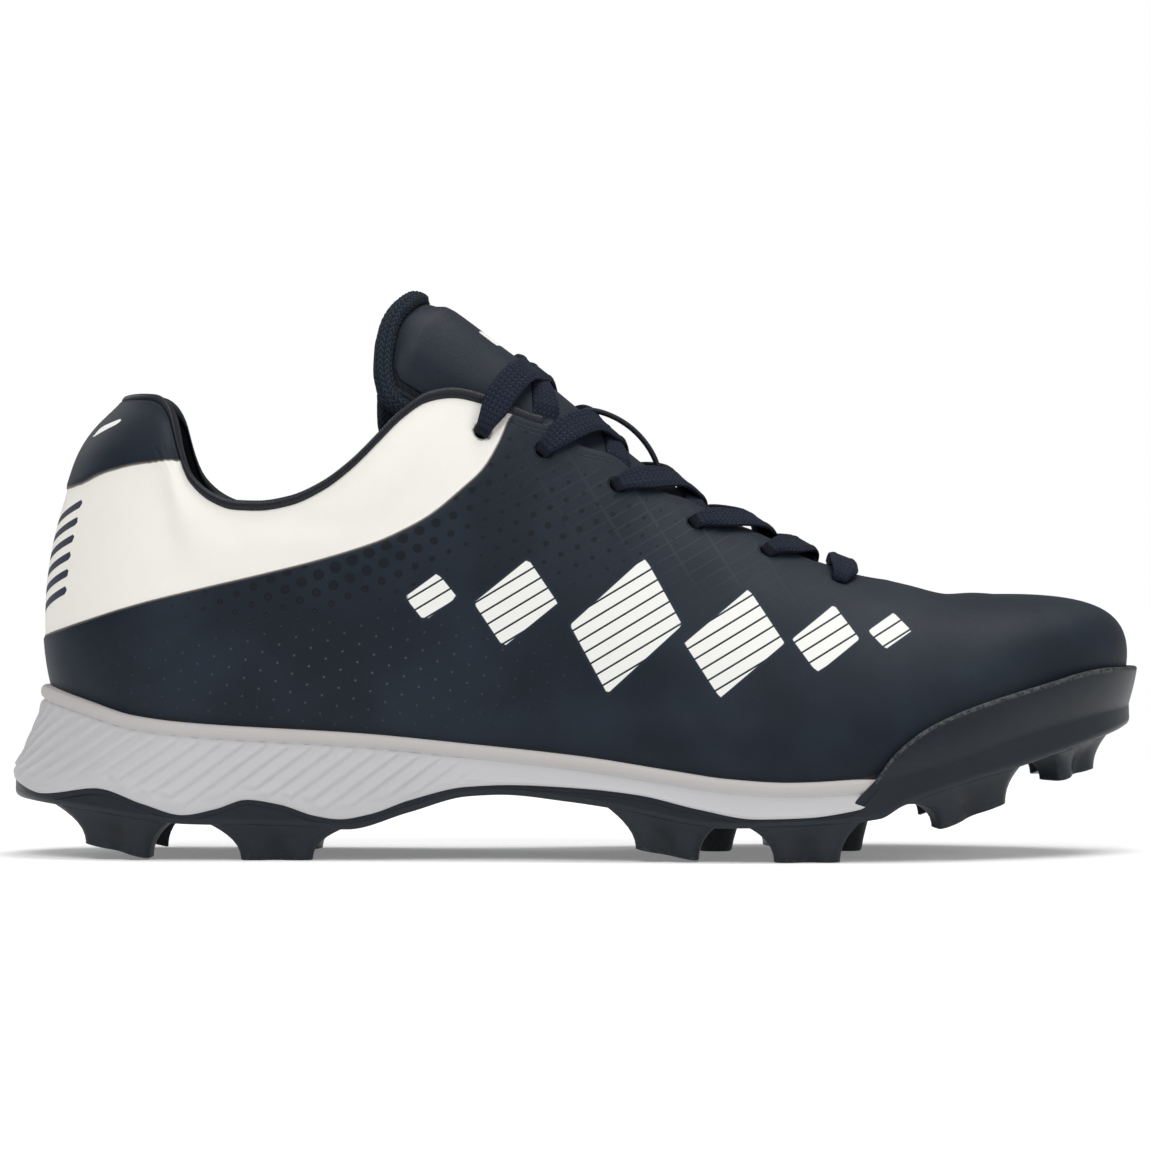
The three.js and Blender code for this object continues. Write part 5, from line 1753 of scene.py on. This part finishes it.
    def _stud(self, row: Sequence[float], side: float) -> Shell:
        """One side stud with concave flanks.

        Args:
            row: its row of the stud table.
            side: OUTER or INNER.

        Returns:
            The shell, with its marks.
        """
        root_rear, root_front, tip_rear, tip_front, rear_up, front_up = row
        last = self.last
        plate = last.table(self.PLATE, last.sole_height)
        rings, tips = [], []
        levels = (-0.1, 0, 0.07, 0.16, 0.28, 0.42, 0.58, 0.75, 0.9, 0.975, 1.0)
        for level in levels:
            share = max(0.0, level)
            narrow = 1 - (1 - share) ** 2.3
            chamfer = 0.5 if level == 1.0 else 0.0

            def height(along: Array, at: Array, share: float = share, level: float = level) -> Array:
                """The height at this level."""
                tip = mix(rear_up, front_up, at) * last.sole_height
                above = self.rounding if level < 0 else 0.0
                return mix(plate(along), tip, share) + above

            rings.append(
                self._stud_ring(
                    side,
                    mix(root_rear, tip_rear, narrow) + chamfer / last.length,
                    mix(root_front, tip_front, narrow) - chamfer / last.length,
                    self.tip_inset * narrow + chamfer,
                    mix(self.root_depth, self.tip_depth, narrow) - chamfer,
                    self.flute * 0.85 * min(1.0, share * 1.8),
                    height,
                )
            )
            tips.append(np.full(len(rings[-1]), ramp(0.8, 1.0, share)))
        stack = np.stack(rings)
        shell = capped_tube(stack)
        count = stack.shape[1]
        shares = np.arange(count) / count
        # Painted shade: this mark darkens the rubber's colour down the recessed flute.
        flute = bell(shares, 0.345, 0.07)
        depth = np.array([min(1.0, max(0.0, level) * 2) for level in levels])
        marks = (depth[:, None] * np.minimum(1.0, flute)[None]).reshape(-1)
        shell.marks = {
            "rim": np.full(len(shell.points), 9.0),
            "strip": np.full(len(shell.points), 9.0),
            "tip": np.concatenate([*tips, [0, 1]]),
            "flute": np.concatenate([marks, [0, 0]]),
        }
        return turned_outwards(shell)

    def _centre_stud(self, row: tuple[float, float]) -> Shell:
        """One plain round stud under the ball of the foot.

        Args:
            row: its place along the shoe and its height.

        Returns:
            The shell, with its marks.
        """
        last = self.last
        along, up = row
        plate = last.table(self.PLATE, last.sole_height)
        low, high = up * last.sole_height, float(plate(along)) + self.rounding
        angle = np.linspace(0, math.tau, 36, endpoint=False)
        rings = []
        for share, size in ((0, 1.0), (0.3, 0.84), (0.7, 0.68), (0.95, 0.61), (1.0, 0.55)):
            radius = self.centre_radius * size
            x = last.to_x(along) + radius * np.cos(angle)
            y = last.centre(along) + radius * np.sin(angle)
            rings.append(np.stack([x, y, np.full_like(x, mix(high, low, share))], -1))
        shell = capped_tube(np.stack(rings))
        zero = np.zeros(len(shell.points))
        shell.marks = {"rim": zero + 9, "strip": zero + 9, "tip": zero + 0.3, "flute": zero}
        return turned_outwards(shell)

    def build(self) -> bpy.types.Object:
        """Builds the whole sole.

        Returns:
            The outsole.
        """
        shell = self._plate()
        for side in (OUTER, INNER):
            for row in self.STUDS:
                shell = shell + self._stud(row, side)
        for row in self.CENTRE_STUDS:
            shell = shell + self._centre_stud(row)
        return make_piece(
            "outsole_moulding", shell, [SoleRubber().material()], self.last.shift, ["outsole"],
            flat_angle=38,
        )


@dataclass
class Insole:
    """The thin foam sock liner."""

    last: Last
    thickness: float = 4.0

    def build(self) -> bpy.types.Object:
        """Builds the liner with a rounded rim.

        Returns:
            The insole.
        """
        last = self.last
        inset = last.feather + last.wall + last.gap + 0.7
        turns = last.columns(150)
        turn = np.concatenate([turns, turns[-2:0:-1]])
        side = np.concatenate([np.full(len(turns), OUTER), np.full(len(turns) - 2, INNER)])
        along, spine = last.along_of(turn), last.spine_along(turn)
        middle = np.stack([last.to_x(spine), last.centre(spine), last.bed(spine)], -1)

        def row(inwards: float, lift: float, share: float) -> Array:
            """One row round the liner, a share of the way to its middle."""
            edge = last.outline(turn, side, -inset - inwards)
            place = np.concatenate([edge, last.bed(along)[:, None]], 1)
            place = mix(place, middle, share)
            return place + np.array([0.0, 0.0, last.gap + lift])

        deep = self.thickness
        rows = [row(0, 0, 1.0), row(0.6, 0, 0), row(0, 0.7, 0), row(0, deep - 1.2, 0)]
        rows += [row(0.4, deep - 0.4, 0), row(1.3, deep, 0), row(3, deep - 0.25, 0.05)]
        rows += [row(0, deep - 0.4, 0.4), row(0, deep - 0.4, 1.0)]
        shell = turned_outwards(grid_shell(np.stack(rows, 1), wrap_columns=True))
        finish = Lining(dark=(0.008, 0.010, 0.016), light=(0.026, 0.030, 0.042), rib=1.6)
        cloth = [finish.material("liner_cloth")]
        piece = make_piece("sock_liner", shell, cloth, last.shift, ["insole"])
        return piece


@dataclass
class Tongue:
    """The padded tongue and its thick knit rim."""

    last: Last
    thickness: float = 4.6
    clearance: float = 1.3
    rim: float = 5.0
    front: float = 0.795
    free_from: float = 0.78

    def __post_init__(self) -> None:
        """Makes the curves of the tongue's outline."""
        last = self.last
        self.top = Curve((0, 0.4, 0.75, 0.93, 1), (0.364, 0.35, 0.33, 0.3245, 0.328))
        half = ((0.3, 0.31), (0.4, 0.3), (0.55, 0.25), (0.8, 0.2))
        self.half = last.table(half, last.ball_width)

    def depth(self, points: Array) -> Array:
        """How far under the last's skin the tongue's face lies."""
        along = self.last.to_along(points[..., 0])
        return self.last.wall + self.clearance + 0.6 * self.last.padding * (1 - ramp(0.3, 0.4, along))

    def place(self, across: Array, back: Array, margin: float, sink: Any, end_margin: float) -> Array:
        """A point of the tongue.

        Args:
            across: -1 to 1 over the tongue's width.
            back: 0 at the front end to 1 at the top edge.
            margin: how far inside its sides.
            sink: how far under its face.
            end_margin: how far inside its top edge.

        Returns:
            The points.
        """
        last = self.last
        along = mix(self.front, self.top(np.abs(across)) + end_margin / last.length, back)
        x = last.to_x(along)
        y = last.centre(along) + across * (self.half(along) - margin)
        probe = last.over(x, y, 0)
        return last.over(x, y, -self.depth(probe) - sink)

    def _body(self) -> bpy.types.Object:
        """The padded body, crowned on both faces and thin at its border."""
        columns, rows = 44, 90
        across, back = np.meshgrid(np.linspace(-1, 1, columns), np.linspace(0, 1, rows), indexing="ij")
        margin = self.rim * 0.72
        side_in = (1 - np.abs(across)) * 20.0
        top_in = (1 - back) * 110.0
        inwards = np.minimum(np.minimum(side_in, top_in), back * 110.0 + 1.2)
        fullness = 1 - np.clip(1 - inwards / 4.0, 0, 1) ** 2
        line = bell(inwards, 2.6, 0.9) * ramp(0.55, 0.75, back)
        crown = 1.5 * fullness - 0.8 * line
        roll = 0.4 * bell(back, 0.80, 0.035)
        middle = self.thickness / 2
        outer = self.place(across, back, margin, middle - middle * fullness - crown + 0.5 - roll, margin)
        inner = self.place(across, back, margin, middle + middle * fullness, margin)
        shell = grid_shell(outer)
        under = grid_shell(inner)
        under.faces = [tuple(reversed(face)) for face in under.faces]
        rim_distance = np.minimum(side_in, top_in).reshape(-1)
        run = (np.where(side_in < top_in, (1 - back) * 120.0, across * 25.0)).reshape(-1)
        ridge_mark = np.minimum(
            np.minimum(3.0 - np.abs(across * 20.0 + 1.5), 2.4 - np.abs((back - 0.872) * 125.0)), 9.0
        ).reshape(-1)
        zero = np.zeros(len(under.points))
        shell.marks = {"rim": rim_distance, "run": run, "patch": ridge_mark}
        under.marks = {"rim": zero + 9, "run": zero, "patch": zero - 9}
        whole = shell + under
        whole.slots = [Face.OUTSIDE] * len(shell.faces) + [Face.LINING] * len(under.faces)
        body = turned_outwards(self._closed(whole, columns, rows))
        lining = Lining(dark=(0.010, 0.014, 0.022), light=(0.03, 0.036, 0.05), rib=1.4)
        finishes = [TongueCloth().material(), lining.material("tongue_lining")]
        piece = make_piece("tongue_pad", body, finishes, self.last.shift, ["tongue"], flat_angle=80)
        return piece

    @staticmethod
    def _closed(shell: Shell, columns: int, rows: int) -> Shell:
        """Joins the two faces round their border.

        Args:
            shell: both faces in one shell.
            columns: columns of each.
            rows: rows of each.

        Returns:
            The same shell, closed.
        """
        count = columns * rows
        border = [i * rows for i in range(columns)]
        border += [(columns - 1) * rows + j for j in range(1, rows)]
        border += [i * rows + rows - 1 for i in range(columns - 2, -1, -1)]
        border += [j for j in range(rows - 2, 0, -1)]
        for a, b in zip(border, border[1:] + border[:1]):
            shell.faces.append((b, a, a + count, b + count))
            shell.slots.append(Face.OUTSIDE)
        return shell

    def _rim(self) -> bpy.types.Object:
        """The knit rim up one free side, over the top and down the other."""
        side_steps = np.linspace(self.free_from, 1, 40, endpoint=False)
        top_steps = np.linspace(-1, 1, 90)
        across = np.concatenate([np.full(40, -1.0), top_steps, np.full(40, 1.0)])
        back = np.concatenate([side_steps, np.ones(90), side_steps[::-1]])
        count = 28
        angle = (np.arange(count) + 0.5) / count * math.tau
        half, middle = self.rim / 2, self.thickness / 2
        border = self.rim * 0.72
        centre = self.place(across, back, border, middle, border)
        over = self.place(across, back, border, middle - 1, border)
        for line in (centre, over):
            for _ in range(8):
                line[1:-1] = (line[:-2] + 2 * line[1:-1] + line[2:]) / 4
        ahead = unit(np.gradient(centre, axis=0))
        facing = unit(over - centre)
        outwards = unit(np.cross(ahead, facing))
        inner = self.place(0.8 * across, back - 0.03, border, middle, border)
        outwards *= np.where(np.sum(outwards * (centre - inner), axis=1) < 0, -1.0, 1.0)[:, None]
        middle_line = centre + outwards * 0.6 * half
        rings = middle_line[:, None] - outwards[:, None] * (half * np.cos(angle))[None, :, None]
        rings = rings + facing[:, None] * ((middle + 0.4) * np.sin(angle))[None, :, None]
        run = lengths_along(middle_line)
        chevron = np.abs((np.arange(count) / count * 8) % 1 - 0.5)
        wave = np.sin((run[:, None] / 1.5 + chevron[None] * 2.2) * math.tau)
        rings = rings + unit(rings - middle_line[:, None]) * (0.14 * wave)[..., None]
        shell = capped_tube(rings)
        shell.marks = {
            "run": np.concatenate([np.repeat(run, count), [0, run[-1]]]),
            "round": np.concatenate([np.tile(np.arange(count) / count * 15.2, len(run)), [0, 0]]),
        }
        turned_outwards(shell)
        piece = make_piece(
            "tongue_knit_rim", shell, [Knit().material()], self.last.shift, ["tongue_edge"],
            flat_angle=80,
        )
        return piece

    def build(self) -> None:
        """Builds the tongue's body and its rim."""
        self._body()
        self._rim()


@dataclass
class Binding:
    """The folded tape that is rolled over the collar's edge."""

    last: Last

    def build(self) -> bpy.types.Object:
        """Builds the tape round the collar.

        Returns:
            The binding.
        """
        last = self.last
        turns = last.columns(240)
        turns = turns[last.along_of(turns) < last.throat_corner]
        turn = np.concatenate([turns[:0:-1], turns])
        side = np.concatenate([np.full(len(turns) - 1, OUTER), np.full(len(turns), INNER)])
        top = last.opening(turn, side)
        edge = last.skin(turn, side, top)
        up = unit(edge - last.skin(turn, side, top - 0.01))
        out = last.normal(turn, side, top)
        depth = last.wall + last.padding_at(edge)
        for values in (edge, up, out):
            values[1:-1] = (values[:-2] + 2 * values[1:-1] + values[2:]) / 4
        centre = edge - out * (depth / 2)[:, None] + up * (last.gap + last.binding / 2)
        count = 20
        angle = np.arange(count) / count * math.tau
        across = np.sign(np.cos(angle)) * np.abs(np.cos(angle)) ** 0.8
        rise = np.sin(angle) * last.binding / 2
        wide = (depth / 2 + 0.25)[:, None] * across[None]
        rings = centre[:, None] + out[:, None] * wide[..., None] + up[:, None] * rise[None, :, None]
        low = (rise < 0)[None, :, None] * up[:, None] * -0.5
        rings = rings + low
        shell = capped_tube(rings)
        run = lengths_along(centre)
        shell.marks = {"run": np.concatenate([np.repeat(run, count), [0, run[-1]]])}
        turned_outwards(shell)
        piece = make_piece(
            "collar_tape", shell, [Tape().material()], last.shift, ["collar_binding"],
            flat_angle=60,
        )
        return piece


@dataclass
class Laces:
    """The flat braided lace in its rows, and the keeper loop."""

    last: Last
    tongue: Tongue
    width: float = 7.5
    thickness: float = 1.9
    clearance: float = 0.5
    reach: float = 0.005
    lean: float = 2.1
    keeper_width: float = 4.0
    keeper_thickness: float = 1.4
    keeper_rise: float = 5.2
    keeper_row: int = 4

    def _strap(self, path: Array, ups: Array, widths: Array, thicks: Array, ribs: int) -> Shell:
        """A flat strap with soft sides and lengthwise ribs.

        Args:
            path: its middle line.
            ups: the upward direction at each point.
            widths: its width at each point.
            thicks: its thickness at each point.
            ribs: how many ribs it has, 0 for none.

        Returns:
            The shell, with its marks.
        """
        ahead = unit(np.gradient(path, axis=0))
        across = unit(np.cross(ahead, ups))
        up = unit(np.cross(across, ahead))
        count = 34
        angle = np.arange(count) / count * math.tau
        flat = np.sign(np.cos(angle)) * np.abs(np.cos(angle)) ** 0.62
        tall = np.sign(np.sin(angle)) * np.abs(np.sin(angle)) ** 0.75
        if ribs:
            tall = tall * (0.86 + 0.16 * np.cos(flat * math.pi * ribs))
        rings = path[:, None] + across[:, None] * (flat[None] * widths[:, None] / 2)[..., None]
        rings = rings + up[:, None] * (tall[None] * thicks[:, None] / 2)[..., None]
        shell = capped_tube(rings)
        run = lengths_along(path)
        shell.marks = {
            "run": np.concatenate([np.repeat(run, count), [0, run[-1]]]),
            "across": np.concatenate([np.tile(flat * 1.2, len(run)), [0, 0]]),
        }
        return turned_outwards(shell)

    def _on_skin(self) -> float:
        """The height of a lace's middle where it lies on the upper."""
        return self.clearance + self.thickness / 2

    def _length(self, start: float, side: float, end: float, lift: float) -> Shell:
        """One length of lace: out of its eyelet, over the tongue and under the far eyestay.

        Args:
            start: the eyelet's place along the shoe.
            side: the side that it starts on.
            end: where it goes under the far edge, along the shoe.
            lift: how far it rises over the other length.

        Returns:
            The shell, with its marks.
        """
        last = self.last
        centre, facing = last.eyelet(start, side)
        far_x = last.to_x(end)
        half = float(last.throat_half(max(far_x, last.corner_x + 1), -side))
        far = float(last.centre(end)) - side * (half - self.width * 0.6)
        on_tongue = self._on_skin() - last.wall - self.tongue.clearance
        share = np.linspace(0, 1, 25)
        x, y = mix(centre[0], far_x, 1 - (1 - share) ** self.lean), mix(centre[1], far, share)
        edge = last.throat_half(np.maximum(x, last.corner_x + 1), side)
        inside = side * (last.centre(last.to_along(x)) - y) + edge
        crossed = bell(y, last.centre(last.to_along(x)), 0.75 * self.width)
        drop = ramp(0.6 * self.width, 2.2 * self.width, inside)
        height = mix(self._on_skin(), on_tongue - 0.4, drop) + lift * crossed
        over = last.over(x, y, height)
        ups = last.over(x, y, height + 1) - over
        heading = unit(over[3] - over[0])
        hidden = np.array([centre - facing * 4.5 - heading * 0.6, centre - facing * 1.8 - heading * 0.3])
        lip = centre + facing * 0.9 + heading * 0.5
        far_dir = unit(over[-1] - over[-4])
        tail_x, tail_y = over[-1][0] + far_dir[0] * 9, over[-1][1] + far_dir[1] * 9
        tail = last.over(np.array([tail_x]), np.array([tail_y]), np.array([on_tongue - 1.2]))
        path = np.vstack([hidden, lip, over[3:], tail])
        lean = -heading
        ups = np.vstack([lean, lean, unit(lean + facing * 0.8), ups[3:], ups[-1:]])
        fine = smooth_path(path, 5)
        ups = unit(smooth_path(unit(ups), 5))
        ups[1:-1] = unit(ups[:-2] + ups[1:-1] * 2 + ups[2:])
        run = lengths_along(fine)
        hole = lengths_along(np.vstack([hidden, lip]))[-1]
        free = ramp(hole - 1.5, hole + 9.0, run)
        widths = mix(3.9, self.width, free)
        total = run[-1]
        thicks = mix(2.5, self.thickness, free) * mix(1.0, 0.6, ramp(total - 9, total - 4, run))
        shell = self._strap(fine, ups, widths, thicks, 3)
        count = (len(shell.points) - 2) // len(run)
        # Painted shade: darkens the lace where it goes into its eyelet.
        buried = 1 - ramp(hole - 1.4, hole + 0.8, run)
        shell.marks["buried"] = np.concatenate([np.repeat(buried, count), [1, 1]])
        return shell

    def _end(self, row: int) -> float:
        """Where the lengths of a row go under, along the shoe."""
        eyelets = self.last.eyelets
        return eyelets[row - 1] + (-self.width / self.last.length if row == 1 else self.reach)

    def _bar(self) -> Shell:
        """The straight first row between its two eyelets."""
        last = self.last
        ends = [last.eyelet(last.eyelets[0], side) for side in (OUTER, INNER)]
        share = np.linspace(0, 1, 25)
        x = mix(ends[0][0][0], ends[1][0][0], share) + self.width * 0.12
        y = mix(ends[0][0][1], ends[1][0][1], share)
        over = last.over(x, y, self._on_skin() + 0.4 * np.sin(math.pi * share))
        ups = last.over(x, y, 3.0) - last.over(x, y, 0)
        inner = unit(over[4] - over[0])
        outer = unit(over[-5] - over[-1])
        first = [ends[0][0] - ends[0][1] * 4.0, ends[0][0] - ends[0][1] * 1.0, ends[0][0] + ends[0][1] * 0.9]
        final = [ends[1][0] + ends[1][1] * 0.9, ends[1][0] - ends[1][1] * 1.0, ends[1][0] - ends[1][1] * 4.0]
        path = np.vstack([first, over[3:-3], final])
        ups = np.vstack([-inner, -inner, -inner + ends[0][1], ups[3:-3], -outer + ends[1][1], -outer, -outer])
        fine = smooth_path(path, 5)
        ups = unit(smooth_path(unit(ups), 5))
        run = lengths_along(fine)
        free = ramp(3, 12, run) * ramp(3, 12, run[-1] - run)
        shell = self._strap(fine, ups, mix(3.9, self.width, free), mix(2.5, self.thickness, free), 3)
        count = (len(shell.points) - 2) // len(run)
        # Painted shade: darkens the lace at both ends, where it goes into the eyelets.
        buried = 1 - ramp(2.4, 4.6, run) * ramp(2.4, 4.6, run[-1] - run)
        shell.marks["buried"] = np.concatenate([np.repeat(buried, count), [1, 1]])
        return shell

    def _keeper(self) -> Shell:
        """The thin loop that stands over one crossing."""
        last, eyelets = self.last, self.last.eyelets

        def crossing(row: int) -> float:
            """Where the lengths of a row cross, along the shoe."""
            return mix(eyelets[row], self._end(row), 1.02)

        rear = last.to_x((crossing(self.keeper_row + 1) + crossing(self.keeper_row)) / 2)
        front = last.to_x((crossing(self.keeper_row) + crossing(self.keeper_row - 1)) / 2)
        share = np.linspace(0, 1, 41)
        x = mix(rear, front, share)
        seat = last.gap + self.keeper_thickness / 2 - last.wall - self.tongue.clearance
        rise = seat + self.keeper_rise * np.sin(math.pi * share) ** 0.6
        path = last.over(x, last.centre(last.to_along(x)), rise)
        ups = np.tile(np.array([0.0, 0.0, 1.0]), (len(path), 1))
        widths = np.full(len(path), self.keeper_width)
        return self._strap(path, ups, widths, np.full(len(path), self.keeper_thickness), 0)

    def build(self) -> None:
        """Builds the rows of lace and the keeper."""
        braid = Braid().material()
        last = self.last
        make_piece("lace_row_0", self._bar(), [braid], last.shift, ["lace_bar"], flat_angle=80)
        for row in range(1, len(last.eyelets)):
            under = self._length(last.eyelets[row], INNER, self._end(row), 0)
            over = self._length(last.eyelets[row], OUTER, self._end(row), self.thickness * 0.62)
            name = f"lace_row_{row}"
            make_piece(name, under + over, [braid], last.shift, [f"lace_cross_{row}"], flat_angle=80)
        tape = Tape("keeper_tape", (0.006, 0.008, 0.014), (0.018, 0.022, 0.036), 0.6)
        make_piece("keeper_loop", self._keeper(), [tape.material()], last.shift, ["lace_keeper"])


# The studio


@dataclass
class Studio:
    """The pale floor, the soft light and the camera."""

    distance: float = 1.4
    height: float = 0.0715
    frame_width: float = 0.2953

    def build(self) -> None:
        """Makes the floor, the lights, the world and the camera."""
        self._floor()
        self._light("key", (-0.3, -1.05, 1.35), 0.9, 13.5)
        self._light("top", (0.3, 0.1, 1.5), 1.0, 14.0)
        self._light("side", (1.25, -0.7, 0.7), 0.7, 3.5)
        self._light("rear", (-1.1, 0.9, 0.9), 0.8, 5.0)
        world = bpy.data.worlds.new("studio")
        world.use_nodes = True
        tree = world.node_tree
        background = tree.nodes["Background"]
        background.inputs["Color"].default_value = (1.0, 1.0, 1.0, 1.0)
        background.inputs["Strength"].default_value = 0.2
        backdrop = tree.nodes.new("ShaderNodeBackground")
        shown = tree.nodes.new("ShaderNodeMixShader")
        seen = tree.nodes.new("ShaderNodeLightPath").outputs["Is Camera Ray"]
        tree.links.new(seen, shown.inputs[0])
        tree.links.new(background.outputs[0], shown.inputs[1])
        tree.links.new(backdrop.outputs[0], shown.inputs[2])
        backdrop.inputs["Color"].default_value = (1.0, 1.0, 1.0, 1.0)
        tree.links.new(shown.outputs[0], tree.nodes["World Output"].inputs["Surface"])
        bpy.context.scene.world = world
        bpy.context.scene.view_settings.view_transform = "Standard"
        self._camera()

    def _floor(self) -> None:
        """Makes the floor."""
        mesh = bpy.data.meshes.new("floor")
        reach = 6.0
        corners = [(-reach, -reach, 0), (reach, -reach, 0), (reach, reach, 0), (-reach, reach, 0)]
        mesh.from_pydata(corners, [], [(0, 1, 2, 3)])
        floor = bpy.data.objects.new("floor", mesh)
        bpy.context.scene.collection.objects.link(floor)
        graph = Graph("floor_paint")
        vector, x, y, _ = graph.place()
        tone = graph.noise(vector, 300.0, 2.0)
        far = (x * x + y * y).root().step(220.0, 900.0)
        colour = graph.blend(tone, (0.90, 0.90, 0.90), (0.93, 0.93, 0.93))
        colour = graph.blend(far, colour, (0.0, 0.0, 0.0))
        glow = graph.blend(far, (0.2, 0.2, 0.2), (1.0, 1.0, 1.0))
        graph.plug(graph.shader.inputs["Emission Color"], glow)
        fixed = {"Emission Strength": 1.0, "Specular IOR Level": 0.0}
        mesh.materials.append(graph.finish(colour, 0.9, None, fixed))

    def _light(self, name: str, place: tuple[float, float, float], size: float, power: float) -> None:
        """Makes one soft light that faces the shoe.

        Args:
            name: its name.
            place: where it stands, in metres.
            size: its width.
            power: its power in watts.
        """
        light = bpy.data.lights.new(name, "AREA")
        light.size, light.energy = size, power
        lamp = bpy.data.objects.new(name, light)
        lamp.location = place
        aim = Vector((0, 0, 0.06)) - Vector(place)
        lamp.rotation_euler = aim.to_track_quat("-Z", "Y").to_euler()
        bpy.context.scene.collection.objects.link(lamp)

    def _camera(self) -> None:
        """Makes the camera at the photograph's angle."""
        data = bpy.data.cameras.new("photo")
        data.sensor_width = 36.0
        data.lens = 36.0 * self.distance / self.frame_width
        camera = bpy.data.objects.new("photo", data)
        camera.location = (-0.0004, -self.distance, self.height)
        camera.rotation_euler = (math.radians(90), 0, 0)
        bpy.context.scene.collection.objects.link(camera)
        bpy.context.scene.camera = camera


def main() -> None:
    """Builds the shoe piece by piece, then the studio."""
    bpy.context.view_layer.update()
    last = Last()
    last.settle(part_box("insole")[0])
    LOG.info("frame shift %s", np.round(last.shift, 3))
    Upper(last).build()
    Midsole(last).build()
    Outsole(last).build()
    Insole(last).build()
    tongue = Tongue(last)
    tongue.build()
    Binding(last).build()
    Laces(last, tongue).build()
    Studio().build()


if __name__ == "__main__":
    main()
